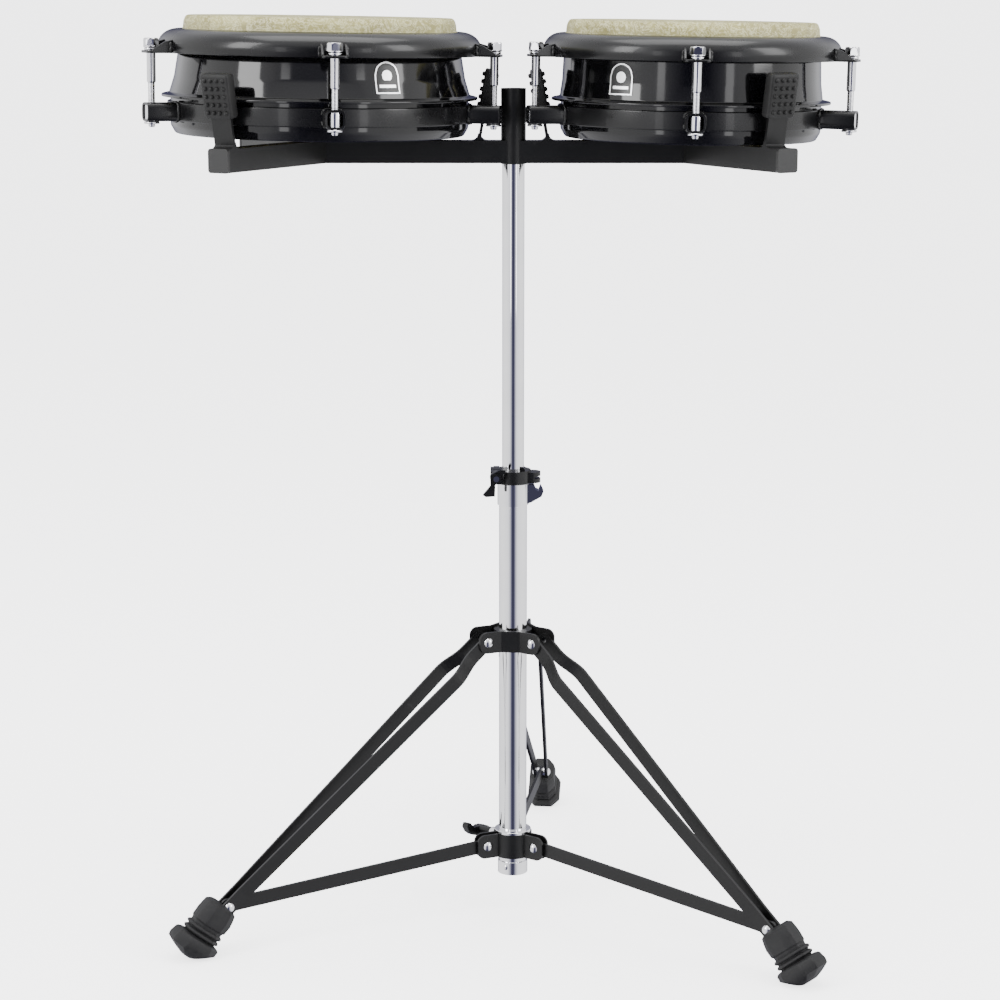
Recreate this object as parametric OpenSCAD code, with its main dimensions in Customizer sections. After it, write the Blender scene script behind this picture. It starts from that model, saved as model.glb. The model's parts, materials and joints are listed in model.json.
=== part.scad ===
// Pair of shallow hand drums on a folding, double-braced tripod stand.
// +Z is up and the floor is z = 0. The origin is the middle of the footprint's box, on the floor.
// The player's side faces -Y. The large drum is on the left (-X), the small one on the right (+X).

/* [Stand] */
// Distance from the origin to the mast's axis, to the right
mast_x = 10.6; // [0:0.5:30]
// Distance from the origin to the mast's axis, to the back
mast_y = -70.8; // [-100:0.5:-40]
// Outer radius of the upper, sliding tube
upper_tube_r = 11.1; // [9:0.1:12]
// Outer radius of the lower tube
lower_tube_r = 14.3; // [13:0.1:16]
// Wall of both tubes
tube_wall = 1.6; // [1:0.1:2]
// Height of the lower tube's upper end
lower_tube_top = 445; // [440:1:450]
// Height of the lower tube's lower end
lower_tube_bottom = 43; // [40:1:46]
// Height of the sliding tube's lower end, inside the lower tube
upper_tube_bottom = 315; // [290:1:350]

/* [Legs] */
// Turn of the tripod against the drums, in degrees
tripod_turn = -6.5; // [-15:0.5:15]
// Radius of the leg pivots on the upper spider
leg_pivot_r = 33; // [32:0.5:35]
// Height of the leg pivots on the upper spider
leg_pivot_z = 294; // [288:1:300]
// Radius of the stay pivots on the sliding collar
stay_pivot_r = 30; // [29:0.5:32]
// Height of the stay pivots on the sliding collar
stay_pivot_z = 72; // [70:1:76]
// Radius of the rivet that joins leg and stay
foot_pivot_r = 312.5; // [300:1:325]
// Height of the rivet that joins leg and stay
foot_pivot_z = 48.5; // [47:0.5:50]
// Width of the leg and stay strips
strip_w = 14; // [12:0.5:16]
// Thickness of the leg and stay strips
strip_t = 3; // [2.5:0.5:3.5]
// Half the spacing of a leg's two strips where they are widest
splay = 21; // [18:0.5:24]

/* [Cradle] */
// Height of the underside of the bar
bar_z = 780; // [770:1:785]
// Height of the bar and of the arms
bar_h = 22; // [20:0.5:25]
// Width of the bar and of the arms
bar_w = 22; // [20:0.5:25]
// Wall of the square tubes
bar_wall = 2; // [1.5:0.5:3]
// Height of the upper end of the sleeve on the mast
sleeve_top = 853; // [845:1:860]
// Angle between an arm and the bar, in degrees
arm_angle = 60; // [55:1:65]
// Width of a pad
pad_w = 32; // [28:1:34]
// Height of a pad
pad_h = 41; // [36:1:44]
// Thickness of a pad without its bumps
pad_t = 12; // [10:0.5:14]
// Outward lean of the clips, in degrees
clip_lean = 10; // [8:0.5:11]

/* [Drums] */
// Distance from the mast to the large drum's centre
large_x = -191.5; // [-200:0.5:-188]
// Distance from the mast to the small drum's centre
small_x = 174.5; // [173:0.5:185]
// Height of the large drum's lower rim
large_z = 808.5; // [806:0.5:812]
// Height of the small drum's lower rim
small_z = 804.2; // [804:0.1:808]
// Turn of the large drum's lugs, in degrees
large_turn = 8.5; // [7:0.5:9]
// Turn of the small drum's lugs, in degrees
small_turn = -2.5; // [-4:0.5:-2]
// Sideways lean of the drums in their clips, in degrees
drum_tilt = 0.9; // [0:0.1:1]
// Height of a drum from its lower rim to its head
drum_h = 114; // [110:1:118]
// Radius of the large drum's playing head
large_head_r = 134; // [132:0.5:136]
// Radius of the small drum's playing head
small_head_r = 124.5; // [122:0.5:126]

/* [Hidden] */
$fn = 64;

// Clearances: a pin that turns in its hole, a tube that slides, and two flat faces that pass each other
fit = 0.05;
slide_gap = 0.1;
face_gap = 0.4;
eps = 0.01;

// Colours: black steel, gloss black, rubber and chrome
BLACK = [0.05, 0.05, 0.055];
GLOSS = [0.03, 0.03, 0.035];
RUBBER = [0.07, 0.07, 0.07];
CHROME = [0.8, 0.8, 0.82];

// Azimuths of the three legs
back_azimuth = 90 + tripod_turn;
left_azimuth = 210 + tripod_turn;
right_azimuth = 330 + tripod_turn;
LEG_AZIMUTHS = [back_azimuth, left_azimuth, right_azimuth];

// Heights above a drum's lower rim, and sizes of its metalwork
lug_count = 5;
lug_step = 360 / lug_count;
ring_z = 13.5;
ring_h = 18;
ring_t = 3;
ring_bore_gap = 0.1;
lip_z = 35.6;
hoop_z = 78;
hoop_h = 23;
hoop_top = hoop_z + hoop_h;
hoop_sheet = 2.5;
flesh_z = hoop_z + 5;
flesh_h = 6;
skin_t = 1.2;
shell_wall = 4.5;
lug_w = 19;
lug_wall = 2.5;
nut_r = 6.3;
rod_head_r = 7.6;
rod_head_h = 9;
rod_r = 4.3;
thread_r = 3.4;
thread_top = 50;
ear_w = 25;

// Radii of a drum: the head, the neck under the hoop, the bowl, the lip, the hoop, the rods and the lug tips
LARGE = [large_head_r, 139.2, 146.7, 155.4, 158.5, 174, 181];
SMALL = [small_head_r, 126.5, 128.3, 137.5, 146.5, 160, 167];
function head_r(d) = d[0];
function neck_r(d) = d[1];
function bowl_r(d) = d[2];
function lip_r(d) = d[3];
function hoop_r(d) = d[4];
function rod_circle_r(d) = d[5];
function lug_tip_r(d) = d[6];

// The cradle
sleeve_r = upper_tube_r + slide_gap + 1.2;
arm_end_large = lip_r(LARGE) + 11.6;
arm_end_small = lip_r(SMALL) + 22.5;
strap_t = 3;
strap_w = bar_w;
strap_low = bar_z + bar_h;
strap_root_r = 6;
pad_low = 832;
pad_gap = 1.4;
bump_r = 2;
bump_h = 2.4;

// Azimuths of each drum's three clips (beside the mast, front, back) and their sideways shifts past the lugs
LARGE_CLIPS = [0, 180 + arm_angle, 180 - arm_angle];
SMALL_CLIPS = [180, -arm_angle, arm_angle];
LARGE_SHIFTS = [2, 0, 0];
SMALL_SHIFTS = [0, 0, 6];

// The linkage: lengths and slopes of a leg and a stay between their pivots
leg_len = norm([foot_pivot_r - leg_pivot_r, leg_pivot_z - foot_pivot_z]);
leg_slope = atan2(leg_pivot_z - foot_pivot_z, foot_pivot_r - leg_pivot_r);
stay_len = norm([foot_pivot_r - stay_pivot_r, stay_pivot_z - foot_pivot_z]);
stay_slope = atan2(stay_pivot_z - foot_pivot_z, foot_pivot_r - stay_pivot_r);
pivot_r = 3;
rivet_head_r = 5;
rivet_head_h = 2.6;
spacing_top = 10.2;
spacing_foot = 6.6;
bend_start = 20;
bend_end = 52;
leg_end = leg_len + 26;

// The spiders
plate_t = 2.5;
upper_plate_h = 22;
upper_plate_end = 45;
upper_tab_c = spacing_top + strip_t / 2 + face_gap;
hub_r = 19.6;
collar_plate_h = 25;
collar_plate_end = 42;
collar_tab_c = strip_t / 2 + 1.6;
collar_r = 17.4;
collar_bore_r = lower_tube_r + slide_gap;

// The wing bolt of the collar: square to the mast, between the back leg and the left leg
wing_bolt_z = stay_pivot_z + 4;
wing_bolt_azimuth = back_azimuth + 60;
wing_boss_r = 6.5;

// The memory lock and the casting under it
casting_z = 434;
lock_z = 457;
lock_h = 13;
lock_r = 18;
lock_bolt_x = -17;
lock_ear = 14.8;
lock_washer_t = 1.4;
lock_bolt_z = lock_z + 8;

// ---------- helpers ----------

// A round tube standing on z = 0
module pipe(r_out, r_in, h) {
    difference() {
        cylinder(r = r_out, h = h);
        translate([0, 0, -1]) cylinder(r = r_in, h = h + 2);
    }
}

// A dome-headed rivet head whose flat side is z = 0
module rivet_head(r, h) {
    dome_r = (r * r + h * h) / (2 * h);
    intersection() {
        translate([0, 0, h - dome_r]) sphere(r = dome_r);
        cylinder(r = r, h = h + 1);
    }
}

// A rounded rectangle standing on the X axis, centred across it
module rounded_box(w, h, r) {
    translate([-w / 2 + r, 0]) square([w - 2 * r, h]);
    translate([-w / 2, r]) square([w, h - 2 * r]);
    for (x = [-1, 1], y = [r, h - r]) translate([x * (w / 2 - r), y]) circle(r = r, $fn = 32);
}

// Puts its children at the mast
module at_mast() {
    translate([mast_x, mast_y, 0]) children();
}

// Turns a radial plane that is drawn in XZ to a leg's azimuth
module at_leg(azimuth) {
    at_mast() rotate([0, 0, azimuth]) children();
}

// Puts its children at a drum's centre, with z = 0 at the lower rim
module at_large(turn = 0) {
    at_mast() translate([large_x, 0, large_z]) rotate([0, drum_tilt, 0]) rotate([0, 0, turn]) children();
}
module at_small(turn = 0) {
    at_mast() translate([small_x, 0, small_z]) rotate([0, drum_tilt, 0]) rotate([0, 0, turn]) children();
}

// Repeats its children at every lug, the first one pointing to the front
module at_lugs() {
    for (i = [0:lug_count - 1]) rotate([0, 0, lug_step * i - 90]) children();
}

// ---------- drums ----------

// A turned shell: bowl with a rolled lower rim, a lip over the lug ring, and a neck that narrows to the head
module shell(d) {
    edge_r = head_r(d) - skin_t - 0.4;
    edge_z = drum_h - skin_t - 0.6;
    inner_r = bowl_r(d) - shell_wall;
    color(GLOSS) rotate_extrude($fn = 128) polygon(concat(
        [[bowl_r(d) - 9, 0], [bowl_r(d) - 5, 0]],
        [for (a = [-75:15:0]) [bowl_r(d) - 5 + 5 * cos(a), 6 + 6 * sin(a)]],
        [[bowl_r(d), lip_z], [lip_r(d) - 1, lip_z], [lip_r(d), lip_z + 1], [lip_r(d) - 1, lip_z + 2.4]],
        [[bowl_r(d) + 1.2, lip_z + 4], [(bowl_r(d) + neck_r(d)) / 2, lip_z + 20], [neck_r(d), hoop_z]],
        [[edge_r + 0.6, hoop_top - 6], [edge_r, drum_h - 8], [edge_r - 5, edge_z]],
        [[edge_r - 7, edge_z], [edge_r - shell_wall, drum_h - 8]],
        [[neck_r(d) - shell_wall - 1, hoop_z], [inner_r - 1, lip_z + 4], [inner_r, ring_z]],
        [for (a = [0:15:60]) [bowl_r(d) - 10 + 5.5 * cos(a), 8 - 5 * sin(a)]]
    ));
}

// A skin head: a flat top, a rounded shoulder, a skirt and the ring that the hoop pulls on
module head(d) {
    shoulder = 9;
    inner_r = shoulder - skin_t;
    flat_r = head_r(d) - shoulder;
    flat_z = drum_h - shoulder;
    ring_r = neck_r(d) + 3.6;
    color([0.72, 0.70, 0.52]) rotate_extrude($fn = 128) polygon(concat(
        [[0, drum_h - skin_t], [flat_r, drum_h - skin_t]],
        [for (a = [75:-15:0]) [flat_r + inner_r * cos(a), flat_z + inner_r * sin(a)]],
        [[head_r(d) - skin_t, hoop_top], [ring_r - 3, flesh_z + 6.5], [ring_r - 3.2, flesh_z]],
        [[ring_r + 0.8, flesh_z], [ring_r + 0.8, flesh_z + flesh_h]],
        [[ring_r - 0.6, flesh_z + flesh_h + 1], [head_r(d), hoop_top + 0.4]],
        [for (a = [0:15:90]) [flat_r + shoulder * cos(a), flat_z + shoulder * sin(a)]],
        [[0, drum_h]]
    ));
}

// Outline of the rolled hoop, in the plane through the drum's axis
module hoop_section(d) {
    inner = head_r(d) + 1.3;
    roll_r = hoop_r(d) - inner - 3;
    roll_h = hoop_h - 7;
    foot_r = neck_r(d) + 3;
    foot_z = flesh_z + flesh_h + 1.4;
    polygon(concat(
        [[foot_r + 0.7, foot_z], [foot_r + 0.7 + hoop_sheet, foot_z], [inner + 3, hoop_top - hoop_sheet]],
        [for (a = [75:-15:0]) [
            inner + 3 + (roll_r - hoop_sheet) * cos(a),
            hoop_z + 7 + (roll_h - hoop_sheet) * sin(a)]],
        [[hoop_r(d) - hoop_sheet, hoop_z], [hoop_r(d), hoop_z]],
        [for (a = [0:7.5:90]) [inner + 3 + roll_r * cos(a), hoop_z + 7 + roll_h * sin(a)]],
        [[inner, hoop_top - 1]]
    ));
}

// One ear of the hoop: a floor with a hole for the rod and a cheek on each side, pointing along +X
module hoop_ear(d) {
    root_r = hoop_r(d) - 2;
    cheek_t = 2.4;
    difference() {
        translate([root_r, -ear_w / 2, hoop_z]) cube([lug_tip_r(d) - root_r, ear_w, hoop_sheet]);
        translate([rod_circle_r(d), 0, hoop_z - 1]) cylinder(r = rod_r + 0.6, h = hoop_sheet + 2);
    }
    for (side = [-1, 1])
        translate([0, side * (ear_w - cheek_t) / 2, 0]) rotate([90, 0, 0])
            linear_extrude(height = cheek_t, center = true) polygon([
                [root_r, hoop_z], [lug_tip_r(d), hoop_z], [lug_tip_r(d), hoop_z + hoop_sheet + 0.5],
                [root_r + 10, hoop_z + 11], [root_r, hoop_z + 13]]);
}

module hoop(d) {
    color(BLACK) {
        rotate_extrude($fn = 128) hoop_section(d);
        at_lugs() hoop_ear(d);
    }
}

// One lug: a rounded tube stub that is open outwards, with a hole for the nut, pointing along +X
module lug(d) {
    root_r = bowl_r(d) + ring_t - 1;
    length = lug_tip_r(d) - root_r;
    inset = 0.2;
    difference() {
        translate([root_r, 0, ring_z + inset]) rotate([90, 0, 90]) linear_extrude(height = length)
            rounded_box(lug_w, ring_h - 2 * inset, 5);
        translate([root_r + 4, 0, ring_z + lug_wall]) rotate([90, 0, 90]) linear_extrude(height = length)
            rounded_box(lug_w - 2 * lug_wall, ring_h - 2 * lug_wall, 2.5);
        translate([rod_circle_r(d), 0, ring_z - 1]) cylinder(r = nut_r + 0.1, h = ring_h + 2);
    }
}

module lug_ring(d) {
    bore_r = bowl_r(d) + ring_bore_gap;
    color(BLACK) {
        translate([0, 0, ring_z]) difference() {
            cylinder(r = bore_r + ring_t, h = ring_h, $fn = 128);
            translate([0, 0, -1]) cylinder(r = bore_r, h = ring_h + 2, $fn = 128);
        }
        at_lugs() lug(d);
    }
}

// The barrel nuts in the lugs
module lug_nuts(d) {
    foot = 2.2;
    color(CHROME) at_lugs() translate([rod_circle_r(d), 0, ring_z]) difference() {
        union() {
            translate([0, 0, -0.3]) cylinder(r = nut_r, h = ring_h - 1.7);
            translate([0, 0, -foot - 0.2]) cylinder(r = nut_r + 1.3, h = foot);
        }
        translate([0, 0, -foot - 1]) cylinder(r = thread_r + fit, h = ring_h + 4);
    }
}

// A tension rod at a lug's place on +X: hexagon head, washer, shank and thread
module tension_rod(d) {
    seat = hoop_z + hoop_sheet + 0.3;
    rod_end = ring_z - 5.5;
    color(CHROME) translate([rod_circle_r(d), 0, 0]) {
        translate([0, 0, seat]) cylinder(r = rod_r + 1.9, h = 2.4);
        intersection() {
            translate([0, 0, seat + 2.4 - eps]) cylinder(r = rod_head_r, h = rod_head_h, $fn = 6);
            translate([0, 0, seat + 2])
                cylinder(r1 = rod_head_r + 4, r2 = rod_head_r - 1.4, h = rod_head_h + 0.4);
        }
        translate([0, 0, thread_top]) cylinder(r = rod_r, h = seat - thread_top + eps);
        translate([0, 0, rod_end]) cylinder(r = thread_r, h = thread_top - rod_end + eps);
    }
}

// Radius of the shell's neck at a height, for the badge on it
function neck_skin_r(d, z) =
    let (middle_r = (bowl_r(d) + neck_r(d)) / 2, middle_z = lip_z + 20)
    z < middle_z ? middle_r + (bowl_r(d) + 1.2 - middle_r) * (middle_z - z) / 16
        : middle_r + (neck_r(d) - middle_r) * (z - middle_z) / (hoop_z - middle_z);

// A plain arched badge that follows the neck of the shell
module badge(d, azimuth) {
    badge_w = 25;
    badge_low = 45;
    straight = 17;
    low = 40;
    middle = lip_z + 20;
    top = hoop_z - 1;
    face = 0.05;
    thick = 0.7;
    color([0.75, 0.75, 0.76]) intersection() {
        rotate_extrude($fn = 128) polygon(concat(
            [for (z = [low, middle, top]) [neck_skin_r(d, z) + face + thick, z]],
            [for (z = [top, middle, low]) [neck_skin_r(d, z) + face, z]]
        ));
        rotate([0, 0, azimuth]) rotate([90, 0, 90]) linear_extrude(height = hoop_r(d)) {
            translate([-badge_w / 2, badge_low]) square([badge_w, straight]);
            translate([0, badge_low + straight]) circle(r = badge_w / 2);
        }
    }
}

module large_shell() { at_large() shell(LARGE); }
module large_head() { at_large() head(LARGE); }
module large_hoop() { at_large(large_turn) hoop(LARGE); }
module large_lug_ring() { at_large(large_turn) lug_ring(LARGE); }
module large_lug_nuts() { at_large(large_turn) lug_nuts(LARGE); }
module large_badge() { at_large() badge(LARGE, -60); }
module large_rod_front() { at_large(large_turn - 90) tension_rod(LARGE); }
module large_rod_inner() { at_large(large_turn - 90 + lug_step) tension_rod(LARGE); }
module large_rod_outer() { at_large(large_turn - 90 - lug_step) tension_rod(LARGE); }
module large_rod_back_inner() { at_large(large_turn - 90 + 2 * lug_step) tension_rod(LARGE); }
module large_rod_back_outer() { at_large(large_turn - 90 - 2 * lug_step) tension_rod(LARGE); }
module small_shell() { at_small() shell(SMALL); }
module small_head() { at_small() head(SMALL); }
module small_hoop() { at_small(small_turn) hoop(SMALL); }
module small_lug_ring() { at_small(small_turn) lug_ring(SMALL); }
module small_lug_nuts() { at_small(small_turn) lug_nuts(SMALL); }
module small_badge() { at_small() badge(SMALL, -125.5); }
module small_rod_front() { at_small(small_turn - 90) tension_rod(SMALL); }
module small_rod_inner() { at_small(small_turn - 90 - lug_step) tension_rod(SMALL); }
module small_rod_outer() { at_small(small_turn - 90 + lug_step) tension_rod(SMALL); }
module small_rod_back_inner() { at_small(small_turn - 90 - 2 * lug_step) tension_rod(SMALL); }
module small_rod_back_outer() { at_small(small_turn - 90 + 2 * lug_step) tension_rod(SMALL); }

// ---------- cradle ----------

// A square tube along +X from x = 0
module square_tube(length) {
    bore_w = bar_w - 2 * bar_wall;
    bore_h = bar_h - 2 * bar_wall;
    difference() {
        translate([0, -bar_w / 2, 0]) cube([length, bar_w, bar_h]);
        translate([-1, -bore_w / 2, bar_wall]) cube([length + 2, bore_w, bore_h]);
    }
}

module cradle_sleeve() {
    color(BLACK) at_mast() translate([0, 0, bar_z - 1])
        pipe(sleeve_r, upper_tube_r + slide_gap, sleeve_top - bar_z + 1);
}

// The cross bar, from one drum's centre to the other's: one half on each side of the sleeve
module cradle_bar() {
    color(BLACK) at_mast() difference() {
        translate([large_x, 0, bar_z]) square_tube(small_x - large_x);
        translate([0, 0, bar_z - 1]) cylinder(r = sleeve_r + 0.02, h = bar_h + 2);
    }
}

// One arm from a drum's centre outwards, cut back where it meets the bar and the other arm
module arm(centre_x, azimuth, length) {
    half_turn = azimuth > 0 && azimuth < 180 ? 0 : 1;
    color(BLACK) at_mast() difference() {
        translate([centre_x, 0, bar_z]) rotate([0, 0, azimuth]) translate([4, 0, 0]) square_tube(length - 4);
        bar_side(centre_x);
        translate([centre_x, 0, bar_z - 1]) mirror([0, half_turn, 0])
            translate([-60, -60, 0]) cube([120, 60, bar_h + 2]);
    }
}

// The space that the bar's own end takes up
module bar_side(centre_x) {
    from_x = centre_x < 0 ? centre_x : centre_x - 60;
    translate([from_x - 0.02, -bar_w / 2 - 0.02, bar_z - 1]) cube([60.04, bar_w + 0.04, bar_h + 2]);
}

module large_arms() {
    arm(large_x, LARGE_CLIPS[1], arm_end_large);
    arm(large_x, LARGE_CLIPS[2], arm_end_large);
}
module small_arms() {
    arm(small_x, SMALL_CLIPS[1], arm_end_small);
    arm(small_x, SMALL_CLIPS[2], arm_end_small);
}

// A plastic plug that closes an arm's end: a face plate with a spigot
module end_plug(length) {
    rim = 0.4;
    spigot_gap = 0.1;
    spigot_w = bar_w - 2 * (bar_wall + spigot_gap);
    spigot_h = bar_h - 2 * (bar_wall + spigot_gap);
    translate([length, 0, bar_z + bar_h / 2]) rotate([90, 0, 90]) {
        linear_extrude(height = 3.5) translate([0, -bar_h / 2 - rim])
            rounded_box(bar_w + 2 * rim, bar_h + 2 * rim, 3);
        translate([0, -spigot_h / 2, -12]) linear_extrude(height = 12 + eps)
            rounded_box(spigot_w, spigot_h, 2);
    }
}

module arm_end_caps() {
    color([0.10, 0.10, 0.10]) at_mast() {
        for (i = [1, 2]) translate([large_x, 0, 0]) rotate([0, 0, LARGE_CLIPS[i]]) end_plug(arm_end_large);
        for (i = [1, 2]) translate([small_x, 0, 0]) rotate([0, 0, SMALL_CLIPS[i]]) end_plug(arm_end_small);
    }
}

// Height of a drum's lip above the floor
function lip_height(d) = (d == LARGE ? large_z : small_z) + lip_z + 1.2;

// Distance from a drum's centre to the middle of a pad at its lower end: the bumps just miss the lip
function pad_r(d) = lip_r(d) + pad_gap + (pad_t / 2 + bump_h) / cos(clip_lean)
    - (lip_height(d) - pad_low) * tan(clip_lean);

// A strap's profile in the radial plane: it leans outwards and has a fillet on each side of its root
module strap_profile(d) {
    foot_r = pad_r(d) - (pad_low - strap_low) * tan(clip_lean);
    difference() {
        union() {
            translate([pad_r(d), pad_low]) rotate(-clip_lean)
                translate([-strap_t / 2, strap_low - pad_low - 8])
                    square([strap_t, pad_low - strap_low + 2 + pad_h]);
            for (side = [0, 1]) translate([foot_r, strap_low]) mirror([side, 0]) root_fillet();
        }
        translate([0, strap_low - 40]) square([2 * pad_r(d), 40]);
    }
}

// The fillet on the right of a strap's root
module root_fillet() {
    difference() {
        square([strap_t / 2 + strap_root_r, strap_root_r]);
        translate([strap_t / 2 + strap_root_r, strap_root_r]) circle(r = strap_root_r);
    }
}

// A clip: a steel strap that rises from the bar or an arm, drawn along +X
module strap(d) {
    rotate([90, 0, 0]) linear_extrude(height = strap_w, center = true) strap_profile(d);
}

// A rubber pad: a pocket over the strap, with rows of bumps inside and outside
module pad(d) {
    rows = 5;
    columns = 4;
    pitch_y = 6.8;
    pitch_z = 7.5;
    pocket_t = strap_t + 0.04;
    pocket_w = strap_w + 0.04;
    translate([pad_r(d), 0, pad_low]) rotate([0, clip_lean, 0]) {
        difference() {
            translate([-pad_t / 2, -pad_w / 2, 0]) cube([pad_t, pad_w, pad_h]);
            translate([-pocket_t / 2, -pocket_w / 2, -1]) cube([pocket_t, pocket_w, pad_h - 4.9]);
        }
        for (side = [-1, 1], row = [0:rows - 1], column = [0:columns - 1])
            translate([side * (pad_t / 2 - eps), (column - (columns - 1) / 2) * pitch_y, 5.5 + row * pitch_z])
                rotate([0, side * 90, 0]) cylinder(r1 = bump_r, r2 = bump_r - 0.6, h = bump_h, $fn = 24);
    }
}

// Puts its children at a drum's three clips
module at_clips(centre_x, azimuths, shifts) {
    at_mast() for (i = [0:2])
        translate([centre_x, 0, 0]) rotate([0, 0, azimuths[i]]) translate([0, shifts[i], 0]) children();
}

module large_clips() { color(BLACK) at_clips(large_x, LARGE_CLIPS, LARGE_SHIFTS) strap(LARGE); }
module small_clips() { color(BLACK) at_clips(small_x, SMALL_CLIPS, SMALL_SHIFTS) strap(SMALL); }
module large_pads() { color(RUBBER) at_clips(large_x, LARGE_CLIPS, LARGE_SHIFTS) pad(LARGE); }
module small_pads() { color(RUBBER) at_clips(small_x, SMALL_CLIPS, SMALL_SHIFTS) pad(SMALL); }

// ---------- mast ----------

module upper_tube() {
    color(CHROME) at_mast() translate([0, 0, upper_tube_bottom])
        pipe(upper_tube_r, upper_tube_r - tube_wall, sleeve_top - 2 - upper_tube_bottom);
}

module lower_tube() {
    color(CHROME) at_mast() translate([0, 0, lower_tube_bottom])
        pipe(lower_tube_r, lower_tube_r - tube_wall, lower_tube_top - lower_tube_bottom);
}

// A plastic sleeve in the lower tube's mouth that guides the upper tube
module tube_guide() {
    guide_h = 54;
    rim_h = 6;
    color([0.15, 0.15, 0.15]) at_mast() translate([0, 0, lower_tube_top - guide_h]) {
        pipe(lower_tube_r - tube_wall - 0.02, upper_tube_r + slide_gap, guide_h);
        translate([0, 0, guide_h - eps]) pipe(lower_tube_r, upper_tube_r + slide_gap, rim_h);
    }
}

// A chrome casting over the lower tube's mouth, with a hooked boss on the right
module height_casting() {
    body_r = lower_tube_r + 1.6;
    bore_h = lower_tube_top + 6.02 - casting_z;
    color(CHROME) at_mast() translate([0, 0, casting_z]) difference() {
        union() {
            cylinder(r = body_r, h = lock_z - 1 - casting_z);
            translate([0, 7, 0]) rotate([90, 0, 0]) linear_extrude(height = 14) polygon([
                [body_r - 3, 1], [body_r + 3, 3], [29, 9], [31, 14], [28, 20], [26, 14.5], [23, 16],
                [21, 21], [body_r - 3, 21]]);
        }
        translate([0, 0, -1]) cylinder(r = lower_tube_r + 0.02, h = bore_h + 1);
        cylinder(r = upper_tube_r + 0.3, h = 60);
    }
}

// The memory lock: a split ring on the upper tube, two ears for the bolt and a forked hinge on the right
module memory_lock() {
    fork_h = lock_h - 2;
    slot_h = 2.5;
    color(BLACK) at_mast() translate([0, 0, lock_z]) difference() {
        union() {
            cylinder(r = lock_r, h = lock_h);
            translate([lock_bolt_x - 6, -lock_ear, 0]) cube([14, 2 * lock_ear, lock_h]);
            translate([6, -9, 0]) cube([13, 18, fork_h]);
            translate([19, 0, 0]) cylinder(r = 9, h = fork_h);
            translate([8, 9, lock_h]) rotate([90, 0, 0]) cylinder(r = 4, h = 18);
        }
        translate([0, 0, -6]) cylinder(r = upper_tube_r + slide_gap, h = lock_h + 12);
        translate([-40, -1.5, -1]) cube([40, 3, lock_h + 2]);
        translate([22, -20, (fork_h - slot_h) / 2]) cube([10, 40, slot_h]);
        translate([lock_bolt_x, -20, lock_bolt_z - lock_z]) rotate([-90, 0, 0]) cylinder(r = 3 + fit, h = 40);
    }
}

// The bolt through the lock's ears: its head is at the back, and a washer lies under the wing nut
module lock_bolt() {
    color(CHROME) at_mast() translate([lock_bolt_x, 0, lock_bolt_z]) rotate([90, 0, 0]) {
        translate([0, 0, -lock_ear]) cylinder(r = 3, h = 2 * lock_ear + 13.5);
        translate([0, 0, -lock_ear - 5]) cylinder(r = 5.5, h = 5 + eps, $fn = 6);
        translate([0, 0, lock_ear]) cylinder(r = 6.4, h = lock_washer_t);
    }
}

// The wing nut on the bolt's front end: a hub, a short upper wing and a flared lower fin
module lock_wing_nut() {
    hub_h = 11;
    color(BLACK) at_mast() translate([lock_bolt_x, -lock_ear - lock_washer_t - 0.1, lock_bolt_z])
        rotate([90, 0, 0]) difference() {
        union() {
            cylinder(r1 = 6.6, r2 = 5.2, h = hub_h);
            translate([0, 0, 5]) linear_extrude(height = 4.5) polygon([
                [-6.4, 3.2], [3.6, 8.9], [9.3, 8.9], [9.3, 6.1], [4, 2], [-1, -6.8],
                [-1.4, -18.2], [-10.7, -18.9], [-13.6, -16.8], [-6, -7.5]]);
        }
        translate([0, 0, -1]) cylinder(r = 3 + fit, h = hub_h + 2);
    }
}

// ---------- upper spider ----------

module upper_spider_hub() {
    hub_h = upper_plate_h - 4;
    color(BLACK) at_mast() translate([0, 0, leg_pivot_z - hub_h / 2]) pipe(hub_r, lower_tube_r + 0.02, hub_h);
}

// Rounds the tabs of a spider's plates: a disc as high as the plates, with rounded rims
module plate_envelope(end_r, h) {
    corner = 8;
    rotate_extrude() {
        translate([0, -h / 2]) square([end_r - corner, h]);
        translate([0, -h / 2 + corner]) square([end_r, h - 2 * corner]);
        for (z = [-1, 1]) translate([end_r - corner, z * (h / 2 - corner)]) circle(r = corner, $fn = 32);
    }
}

// Plan of one tab beside a leg's plane
module tab_plan(from_r, end_r, c) {
    for (side = [-1, 1]) translate([from_r, side > 0 ? c : -c - plate_t]) square([end_r - from_r, plate_t]);
}

// The holes for the rivets in both tabs beside each leg
module tab_holes(at_r) {
    for (i = [0:2]) rotate([0, 0, 120 * i]) translate([at_r, 20, 0]) rotate([90, 0, 0])
        cylinder(r = pivot_r + 0.02, h = 40);
}

// Each plate spans from one leg to the next: a straight middle and two tabs
module upper_spider_plates() {
    middle_c = upper_tab_c + plate_t / 2;
    corner_r = 19;
    middle_x = corner_r / 2 + middle_c * sin(60);
    middle_y = corner_r * sin(60) - middle_c / 2;
    color(BLACK) at_leg(back_azimuth) translate([0, 0, leg_pivot_z]) difference() {
        intersection() {
            translate([0, 0, -upper_plate_h / 2]) linear_extrude(height = upper_plate_h) {
                for (i = [0:2]) rotate([0, 0, 120 * i]) tab_plan(corner_r, upper_plate_end, upper_tab_c);
                for (i = [0:2]) rotate([0, 0, 120 * i + 60]) {
                    translate([middle_x - plate_t / 2, -middle_y]) square([plate_t, 2 * middle_y]);
                    for (y = [-1, 1]) translate([middle_x, y * middle_y]) circle(r = plate_t / 2, $fn = 32);
                }
            }
            plate_envelope(upper_plate_end, upper_plate_h);
        }
        tab_holes(leg_pivot_r);
    }
}

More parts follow.
